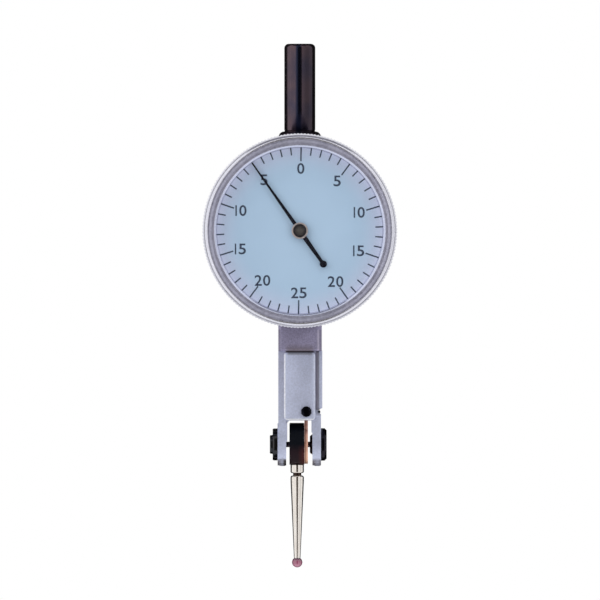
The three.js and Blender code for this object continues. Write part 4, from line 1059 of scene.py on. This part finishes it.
class INDICATOR_OT_dial(bpy.types.Operator):
    """Makes the dial face with its marks and numerals, the gasket and the crystal"""

    bl_idname = "indicator.dial"
    bl_label = "Dial and crystal"

    def execute(self, context):
        sizes = in_mm(context.scene.indicator_dial)
        self.make_face()
        for print_piece in (self.make_marks(sizes), self.make_numerals(sizes)):
            dress(print_piece, "bezel_group", "dial_blue", "dial_ink")
        self.make_gasket()
        self.make_crystal()
        return {"FINISHED"}

    def make_face(self):
        """A disc with a rolled rim and a hole for the pointer's arbor."""
        front = DIAL_LOW.y
        back = DIAL_HIGH.y
        radius = DIAL_HIGH.x
        hole = 0.9
        face = turned("dial_plate", [
            (hole, front + 0.04), (hole + 0.04, front), (radius - 0.1, front), (radius, front + 0.1),
            (radius, back), (hole, back),
        ], "Y", DIAL_CENTRE, FINE, loop=True)
        dress_as("dial_face", face)

    def make_marks(self, sizes):
        """The scale: one long and one short mark, copied round the dial."""
        reach = {True: sizes.major_length, False: sizes.minor_length}
        width = {True: sizes.major_width, False: sizes.minor_width}
        firsts = {major: self.make_bar(width[major], reach[major], sizes) for major in reach}
        marks = []
        for index in range(sizes.divisions):
            major = index % sizes.major_every == 0
            take(firsts[major])
            bpy.ops.object.duplicate()
            turn = math.tau * index / sizes.divisions + sizes.turn
            marks.append(bpy.context.object)
            self.set_bar(marks[-1], sizes.outer - reach[major] / 2, turn)
        for first in firsts.values():
            take(first)
            bpy.ops.object.delete()
        return join(marks, "dial_marks")

    def make_bar(self, width, height, sizes):
        """A printed stroke, still flat at the origin."""
        deselect()
        bpy.ops.mesh.primitive_plane_add(size=1, location=(0, 0, 0))
        bar = bpy.context.object
        edit(bar)
        bpy.ops.transform.resize(value=(width * MM, height * MM, 1))
        step = {"value": (0, 0, sizes.print_height * MM)}
        bpy.ops.mesh.extrude_region_move(TRANSFORM_OT_translate=step)
        close_edit()
        tidy_mesh(bar)
        return bar

    def set_bar(self, bar, radius, turn):
        """Sets a stroke upright at a radius, turned clockwise about the dial's centre."""
        place = (radius * math.sin(turn), DIAL_LOW.y, DIAL_CENTRE.z + radius * math.cos(turn))
        settle(bar, place, (QUARTER, turn, 0))

    def make_numerals(self, sizes):
        """Plain numbers that count away from zero on both sides."""
        groups = sizes.divisions // sizes.major_every
        pieces = []
        for index in range(groups):
            value = min(index, groups - index) * sizes.major_every
            turn = math.tau * index / groups + sizes.turn
            radius = sizes.numeral_radius
            pieces.extend(self.make_number(
                sizes, str(value), radius * math.sin(turn), DIAL_CENTRE.z + radius * math.cos(turn)))
        return join(pieces, "dial_numerals")

    def make_number(self, sizes, text, x, z):
        """The figures of one number, centred on its place."""
        widths = [sizes.stroke if figure == "1" else sizes.numeral_width for figure in text]
        gap = sizes.numeral_gap * (2 if "1" in text else 1)
        left = x - (sum(widths) + gap * (len(text) - 1)) / 2
        pieces = []
        for figure, width in zip(text, widths):
            if figure == "1":
                piece = self.make_bar(sizes.stroke, sizes.numeral_height, sizes)
                place_y = DIAL_LOW.y
            else:
                piece = self.make_figure(sizes, figure)
                place_y = DIAL_LOW.y - sizes.print_height / 2
            settle(piece, (left + width / 2, place_y, z), (QUARTER, 0, 0))
            pieces.append(piece)
            left += width + gap
        return pieces

    def make_figure(self, sizes, figure):
        """One round figure, brought to its height and width, still flat at the origin."""
        deselect()
        bpy.ops.object.text_add()
        text = bpy.context.object.data
        text.body = figure
        text.size = 1
        text.offset = sizes.weight
        text.resolution_u = 6
        text.extrude = 0.01
        bpy.ops.object.convert(target="MESH")
        piece = bpy.context.object
        bpy.ops.object.origin_set(type="ORIGIN_GEOMETRY", center="BOUNDS")
        wanted = Vector((sizes.numeral_width, sizes.numeral_height, sizes.print_height)) * MM
        piece.scale = [new / old for new, old in zip(wanted, piece.dimensions)]
        settle(piece, (0, 0, 0))
        tidy_mesh(piece)
        return piece

    def make_gasket(self):
        """The pale ring between the dial and the crystal."""
        low, high = corners("crystal_gasket")
        outer = high.x
        inner = outer - 0.65
        edge = 0.12
        ring = turned("dial_gasket", [
            (inner + edge, low.y), (inner, low.y + edge), (inner, high.y - edge), (inner + edge, high.y),
            (outer, high.y), (outer, low.y),
        ], "Y", DIAL_CENTRE, FINE, loop=True)
        dress_as("crystal_gasket", ring)

    def make_crystal(self):
        """A flat crystal with a ground edge."""
        low, high = corners("crystal")
        crystal = disc("dial_crystal", high.x, low.y, high.y, 0.15, DIAL_CENTRE, FINE)
        dress_as("crystal", crystal)


class INDICATOR_OT_hand(bpy.types.Operator):
    """Finishes the pointer and turns its hub"""

    bl_idname = "indicator.hand"
    bl_label = "Pointer"

    def execute(self, context):
        dress_copy("pointer", 0.03)
        front, back = [corner.y for corner in corners("pointer_hub")]
        radius = 1.6
        hub = turned("hub_turned", [
            (0.18, front + 0.05), (0.3, front + 0.12), (radius - 0.4, front + 0.1),
            (radius - 0.32, front + 0.02), (radius - 0.24, front), (radius - 0.1, front),
            (radius, front + 0.1), (radius, back), (0.4, back),
        ], "Y", DIAL_CENTRE, SMALL)
        dress_as("pointer_hub", hub, "hub_bronze")
        return {"FINISHED"}


class INDICATOR_OT_case(bpy.types.Operator):
    """Finishes the body, the covers and their screws"""

    bl_idname = "indicator.case"
    bl_label = "Case and covers"

    def execute(self, context):
        edge = context.scene.indicator_body.edge / MM
        self.make_body(edge)
        dress_copy("rear_cover", edge)
        self.make_front_cover()
        self.make_side_cover()
        self.make_cover_screw()
        screws = ["side_cover_screw_1", "side_cover_screw_2"]
        screws += [f"rear_cover_screw_{index}" for index in (1, 2, 3)]
        for name in screws:
            dress_copy(name, 0.04, "black_fitting")
        return {"FINISHED"}

    def make_body(self, edge):
        """The case, with its bar drawn out to its width and rounder ends on the fork's ears."""
        body = copy_node("case_body")
        self.round_ear_ends(body)
        near = 0.02 * MM
        drum_low = DIAL_CENTRE.z * MM
        boss_low = (SIDE_HIGH.z - 0.2) * MM
        half = BOSS_HALF * MM
        move_part(body, lambda point: abs(point.x + half) < near and point.z < drum_low, (-0.06, 0, 0))
        move_part(
            body, lambda point: abs(point.x - half) < near and boss_low < point.z < drum_low,
            (0.16, 0, 0))
        break_edges(body, edge)
        body = join([body, *self.make_lands()], "case_body_finished")
        smooth(body)
        dress_as("case_body", body, "satin_case")

    def round_ear_ends(self, body):
        """Draws the rims of the ears' round ends in towards the pivot, so that they are crowned."""
        reach = PIVOT_CENTRE.z - BODY_LOW.z - 0.1
        crown = BODY_LOW.z + 1.5

        def on_end(point):
            rise = point.z - PIVOT_CENTRE.z * MM
            return point.z < crown * MM and math.hypot(point.y, rise) > reach * MM

        select_points(body, on_end)
        for edge in body.data.edges:
            first, second = [body.data.vertices[index].co for index in edge.vertices]
            across = abs(first.x - second.x) > EAR_HALF * MM and abs(first.z - second.z) < MERGE
            edge.select = across and on_end(first) and on_end(second)
        bpy.ops.object.mode_set(mode="EDIT")
        bpy.ops.mesh.select_mode(type="EDGE")
        bpy.ops.mesh.subdivide(number_cuts=7)
        close_edit()
        for from_middle, share in ((0.4, 0.9925), (0.62, 0.985), (0.8, 0.9775)):
            for below in (0.0, 0.55):
                grow_part(
                    body, lambda point: on_end(point) and point.z < (crown - below) * MM
                    and abs(abs(point.x) / MM - EAR_MIDDLE) > from_middle,
                    (1, share, share), PIVOT_CENTRE)

    def make_lands(self):
        """Raised lands inside the fork, above the pivot, that run out in a slope, and its round root."""
        top = -73.0
        depth = -BAR_FRONT - 0.02
        lands = []
        for wall, face, foot in ((-2.66, -2.43, -77.2), (2.47, 2.26, -75.5)):
            low, high = sorted((wall, face))
            land = block("land", (low, -depth, foot), (high, depth, top))
            slope = (foot + 0.1) * MM
            move_part(
                land, lambda point: abs(point.x - face * MM) < MERGE and point.z < slope, (0, 0, 0.3))
            lands.append(land)
        root = block("land_root", (-2.66, -depth, top - 0.42), (-2.42, depth, top + 0.1))
        move_part(root, lambda point: point.x > -2.5 * MM and point.z > top * MM, (0.45, 0, 0))
        return [*lands, root]

    def make_cover_screw(self):
        """The black screw of the front cover, with a slightly larger head than the CAD's."""
        name = "front_cover_screw"
        low, high = corners(name)
        screw = copy_node(name, 0.04)
        grow_part(screw, lambda point: point.y < COVER_LOW.y * MM, (1.07, 1, 1.07), (low + high) / 2)
        smooth(screw)
        dress_as(name, screw, "black_fitting")

    def make_front_cover(self):
        """The raised cover, with broad broken edges and a shadow gap above it."""
        cover = copy_node("front_cover")
        move_part(cover, lambda point: point.z > (COVER_HIGH.z - 0.05) * MM, (0, 0, -0.2))
        break_edges(cover, 0.26, 3)
        smooth(cover)
        dress_as("front_cover", cover, "satin_cover")

    def make_side_cover(self):
        """The side cover with its inner lip, which closes the slit beside it, and a small dowel."""
        cover = copy_node("side_cover", 0.08)
        move_part(cover, lambda point: point.z > (SIDE_HIGH.z - 0.1) * MM, (0, 0, 0.2))
        cover = join([cover, self.make_lip()], "side_cover_finished")
        smooth(cover)
        dress_as("side_cover", cover, "satin_slit")
        centre = DOWEL_CENTRE + Vector((0.03, 0, 0))
        dowel = disc("side_dowel", 0.31, BAR_FRONT + 0.02, BAR_FRONT + 0.65, 0.05, centre, TINY)
        dress(dowel, "frame", "black_oxide", "hand_black")

    def make_lip(self):
        """A narrow strip set back in the slit, its left edge further than its right."""
        width = 0.56
        front = BAR_FRONT + 0.1
        back = front + 0.9
        lip = block(
            "lip", (SIDE_LOW.x - width, front, SIDE_LOW.z + 0.05), (SIDE_LOW.x, back, SIDE_HIGH.z - 0.05))
        left = (SIDE_LOW.x - width / 2) * MM
        middle = (front + back) / 2 * MM
        move_part(lip, lambda point: point.x < left and point.y < middle, (0, 0.1, 0))
        break_edges(lip, 0.05)
        return lip


class INDICATOR_OT_stem(bpy.types.Operator):
    """Turns the stem"""

    bl_idname = "indicator.stem"
    bl_label = "Stem"

    def execute(self, context):
        tenon = 2
        radius = 3
        flange = STEM_HIGH.x
        round_flange = 1.05
        round_top = 0.85
        bottom = BODY_HIGH.z
        flange_top = bottom + 1.2
        stem = turned("stem_turned", [
            (tenon, STEM_LOW.z), (tenon, bottom), (flange, bottom),
            *arc(flange - round_flange, flange_top - round_flange, round_flange, 0, 86),
            (radius + 0.02, flange_top), (radius - 0.1, flange_top + 0.12), (radius, flange_top + 0.3),
            *arc(radius - round_top, -round_top, round_top, 0, 90),
        ], "Z", Vector((0, 0, 0)))
        dress_as("stem", stem, "stem_black")
        return {"FINISHED"}


class INDICATOR_OT_fork(bpy.types.Operator):
    """Finishes what sits on the pivot: nut, screw, bush, cone, shaft, holder and lever"""

    bl_idname = "indicator.fork"
    bl_label = "Fork fittings"

    def execute(self, context):
        dress_copy("pivot_cone", 0.05, "black_fitting")
        bush = copy_node("pivot_bush", 0.05)
        rim = (corners("pivot_bush")[1].x - 0.7) * MM
        move_part(bush, lambda point: point.x > rim, (0.1, 0, 0))
        dress_as("pivot_bush", bush, "black_fitting")
        self.make_screw("lock_nut", 1.08)
        self.make_screw("pivot_screw", 1.12)
        dress_copy("pivot_shaft", 0.05)
        dress_copy("friction_washer", 0.03)
        self.make_lever()
        dress_copy("stylus_holder", 0.06, "holder_black")
        return {"FINISHED"}

    def make_screw(self, node, share):
        """A turned fitting on the left ear, with a smaller chamfer on its outer face than the CAD's."""
        outer = (corners(node)[0].x + 0.02) * MM
        piece = copy_node(node)
        grow_part(piece, lambda point: point.x < outer, (1, share, share), PIVOT_CENTRE)
        break_edges(piece, 0.05)
        smooth(piece)
        dress_as(node, piece, "black_nut")

    def make_lever(self):
        """The drive lever, close against the holder."""
        lever = copy_node("drive_lever")
        step = HOLDER_HIGH.x + 0.012 - LEVER_LOW.x
        move_part(lever, lambda point: point.x < (LEVER_LOW.x + 0.02) * MM, (step, 0, 0))
        break_edges(lever, 0.03)
        smooth(lever)
        dress_as("drive_lever", lever, "lever_copper")


class INDICATOR_OT_stylus(bpy.types.Operator):
    """Turns the socket, the stylus and its ball"""

    bl_idname = "indicator.stylus"
    bl_label = "Stylus"

    def execute(self, context):
        radius = (SOCKET_HIGH.x - SOCKET_LOW.x) / 2
        foot = SOCKET_LOW.z
        socket = turned("socket_turned", [
            (radius - 0.55, foot), (radius - 0.35, foot + 0.02),
            *arc(radius - 0.3, foot + 0.32, 0.3, -80, 0, 6), (radius, SOCKET_HIGH.z),
        ], "Z", STYLUS_CENTRE, SMALL)
        dress_as("stylus_socket", socket, "polished_steel")
        self.make_stylus(foot, radius)
        self.make_ball()
        return {"FINISHED"}

    def make_stylus(self, top, radius):
        """A necked and tapered stylus that runs out to the ball."""
        tip, high = [corner.z for corner in corners("stylus")]
        neck = top - 0.45
        waist = 0.8
        plug = 0.55
        stylus = turned("stylus_turned", [
            (0.54, tip), (0.62, tip + 0.05), (0.645, tip + 0.3), (radius, neck - 1.0),
            (radius, neck - 0.5), *arc(radius - 0.42, neck - 0.42, 0.42, 0, 70, 6),
            (waist + 0.06, neck - 0.02), (waist, neck + 0.04), (waist, top - 0.02), (plug, top + 0.05),
            (plug, high),
        ], "Z", STYLUS_CENTRE, SMALL)
        dress_as("stylus", stylus, "polished_steel")

    def make_ball(self):
        """A polished ball, turned from pole to pole."""
        middle = (BALL_LOW.z + BALL_HIGH.z) / 2
        radius = (BALL_HIGH.z - BALL_LOW.z) / 2
        pole = 89.5
        ball = turned("ball_turned", arc(0, middle, radius, -pole, pole, 28), "Z", STYLUS_CENTRE, SMALL)
        smooth(ball, math.radians(60))
        dress_as("ruby_ball", ball)


class INDICATOR_OT_movement(bpy.types.Operator):
    """Gives the pieces inside the case their finishes"""

    bl_idname = "indicator.movement"
    bl_label = "Movement"

    def execute(self, context):
        for name, node in frame["nodes"].items():
            if not node.hide_render:
                node.data.materials.clear()
                node.data.materials.append(finish_named(slot_of(name)))
        return {"FINISHED"}


# Place from the object's middle, size, and for a flag its colour
LAMPS = {
    "key": ((-900, -620, 260), (900, 1260)),
    "fill": ((900, -560, 60), (760, 1200)),
    "top": ((0, -420, 950), (900, 600)),
}
FLAGS = {
    "front_flag": ((0, -1300, 0), (760, 2700), FLAG_BROWN),
    "back_flag": ((0, 330, 0), (2200, 2200), FLAG_BLACK),
    "roof_flag": ((0, -40, 700), (900, 700), FLAG_GREY),
}


class INDICATOR_OT_stage(bpy.types.Operator):
    """Sets the camera, the pale floor, the room and the lamps"""

    bl_idname = "indicator.stage"
    bl_label = "Stage"

    def execute(self, context):
        sizes = in_mm(context.scene.indicator_stage)
        self.make_camera(context, sizes)
        self.make_floor(sizes)
        self.make_room(context, sizes)
        middle = Vector((0, 0, sizes.centre_z))
        for name, (place, size) in LAMPS.items():
            self.make_lamp(name, place, middle, size, getattr(sizes, name + "_power"))
        for name, (place, size, tint) in FLAGS.items():
            self.make_flag(name, place, middle, size, tint)
        context.scene.view_settings.view_transform = "Standard"
        return {"FINISHED"}

    def make_camera(self, context, sizes):
        """A long lens straight in front of the dial."""
        deselect()
        place = Vector((sizes.centre_x, -sizes.camera_distance, sizes.centre_z)) * MM
        bpy.ops.object.camera_add(location=place, rotation=(QUARTER, 0, 0))
        camera = bpy.context.object
        camera.name = "camera"
        camera.data.sensor_width = 36
        camera.data.lens = camera.data.sensor_width * sizes.camera_distance / sizes.frame_width
        camera.data.clip_start = 0.01
        camera.data.clip_end = 20
        context.scene.camera = camera

    def make_sheet(self, name, place, size, material, target=None):
        """A flat sheet of the stage that faces up, or away from a target."""
        deselect()
        bpy.ops.mesh.primitive_grid_add(
            x_subdivisions=2, y_subdivisions=2, size=1, location=Vector(place) * MM)
        sheet = bpy.context.object
        sheet.name = name
        sheet.scale = (size[0] * MM, size[1] * MM, 1)
        if target:
            self.aim(sheet, target)
        settle(sheet)
        sheet.data.materials.append(material)
        return sheet

    def aim(self, piece, target):
        """Turns a piece's back, which is a lamp's bright side, to a target."""
        direction = target * MM - piece.location
        piece.rotation_euler = direction.to_track_quat("-Z", "Y").to_euler()

    def make_floor(self, sizes):
        """A plain pale floor below the object."""
        finish = Finish("floor")
        tone = finish.blend(finish.vary(finish.noise(60)), FLOOR_DARK, FLOOR_PALE)
        material = finish.surface(Base_Color=tone, Roughness=0.8)
        size = (sizes.floor_size, sizes.floor_size)
        self.make_sheet("floor", (0, 0, sizes.floor_z), size, material).visible_glossy = False

    def make_flag(self, name, place, target, size, tint):
        """A dark flag that only reflections see, so that polished metal has dark edges."""
        material = Finish(name).surface(Base_Color=tint, Roughness=1.0)
        flag = self.make_sheet(name, Vector(place) + target, size, material, target)
        for ray in ("camera", "diffuse", "transmission", "volume_scatter", "shadow"):
            setattr(flag, "visible_" + ray, False)

    def make_lamp(self, name, place, target, size, power):
        """A soft box that faces the object, with a dark flag behind it."""
        deselect()
        bpy.ops.object.light_add(type="AREA", location=(Vector(place) + target) * MM)
        lamp = bpy.context.object
        lamp.name = name + "_lamp"
        lamp.data.shape = "RECTANGLE"
        lamp.data.size = size[0] * MM
        lamp.data.size_y = size[1] * MM
        lamp.data.energy = power
        self.aim(lamp, target)
        self.make_flag(name + "_flag", Vector(place) * 1.04, target, size, FLAG_BLACK)

    def make_room(self, context, sizes):
        """White where the camera, metal or glass looks, and a plain ambient level elsewhere."""
        context.scene.world = bpy.data.worlds.new("room")
        context.scene.world.use_nodes = True
        room = Nodes(context.scene.world.node_tree, "ShaderNodeOutputWorld")
        rays = room.node("ShaderNodeLightPath").socket.node.outputs
        seen = Amount(room, rays["Is Camera Ray"])
        for kind in ("Is Glossy Ray", "Is Transmission Ray"):
            seen = seen.sum("MAXIMUM", seen, Amount(room, rays[kind]))
        level = seen * (1 - sizes.ambient) + sizes.ambient
        light = room.node("ShaderNodeBackground", {}, {"Color": WHITE, "Strength": level})
        room.feed(room.output.inputs["Surface"], light)


class INDICATOR_PT_panel(bpy.types.Panel):
    """Lists the pieces and their sizes"""

    bl_idname = "INDICATOR_PT_panel"
    bl_label = "Dial Test Indicator"
    bl_space_type = "VIEW_3D"
    bl_region_type = "UI"
    bl_category = "Indicator"

    def draw(self, context):
        layout = self.layout
        for operator in OPERATORS:
            layout.operator(operator.bl_idname)
        for name, group in GROUPS.items():
            box = layout.box()
            for key in group.__annotations__:
                box.prop(getattr(context.scene, name), key)


GROUPS = {
    "indicator_dial": DialSizes,
    "indicator_bezel": BezelSizes,
    "indicator_body": BodyFinish,
    "indicator_stage": StageSizes,
}
OPERATORS = (
    INDICATOR_OT_bezel,
    INDICATOR_OT_dial,
    INDICATOR_OT_hand,
    INDICATOR_OT_case,
    INDICATOR_OT_stem,
    INDICATOR_OT_fork,
    INDICATOR_OT_stylus,
    INDICATOR_OT_movement,
    INDICATOR_OT_stage,
)
CLASSES = (*GROUPS.values(), *OPERATORS, INDICATOR_PT_panel)


def register():
    for item in CLASSES:
        bpy.utils.register_class(item)
    for name, group in GROUPS.items():
        setattr(bpy.types.Scene, name, bpy.props.PointerProperty(type=group))


def unregister():
    for name in GROUPS:
        delattr(bpy.types.Scene, name)
    for item in reversed(CLASSES):
        bpy.utils.unregister_class(item)


def main():
    register()
    bpy.ops.indicator.bezel()
    bpy.ops.indicator.dial()
    bpy.ops.indicator.hand()
    bpy.ops.indicator.case()
    bpy.ops.indicator.stem()
    bpy.ops.indicator.fork()
    bpy.ops.indicator.stylus()
    bpy.ops.indicator.movement()
    bpy.ops.indicator.stage()
    bpy.context.view_layer.update()


if __name__ == "__main__":
    main()
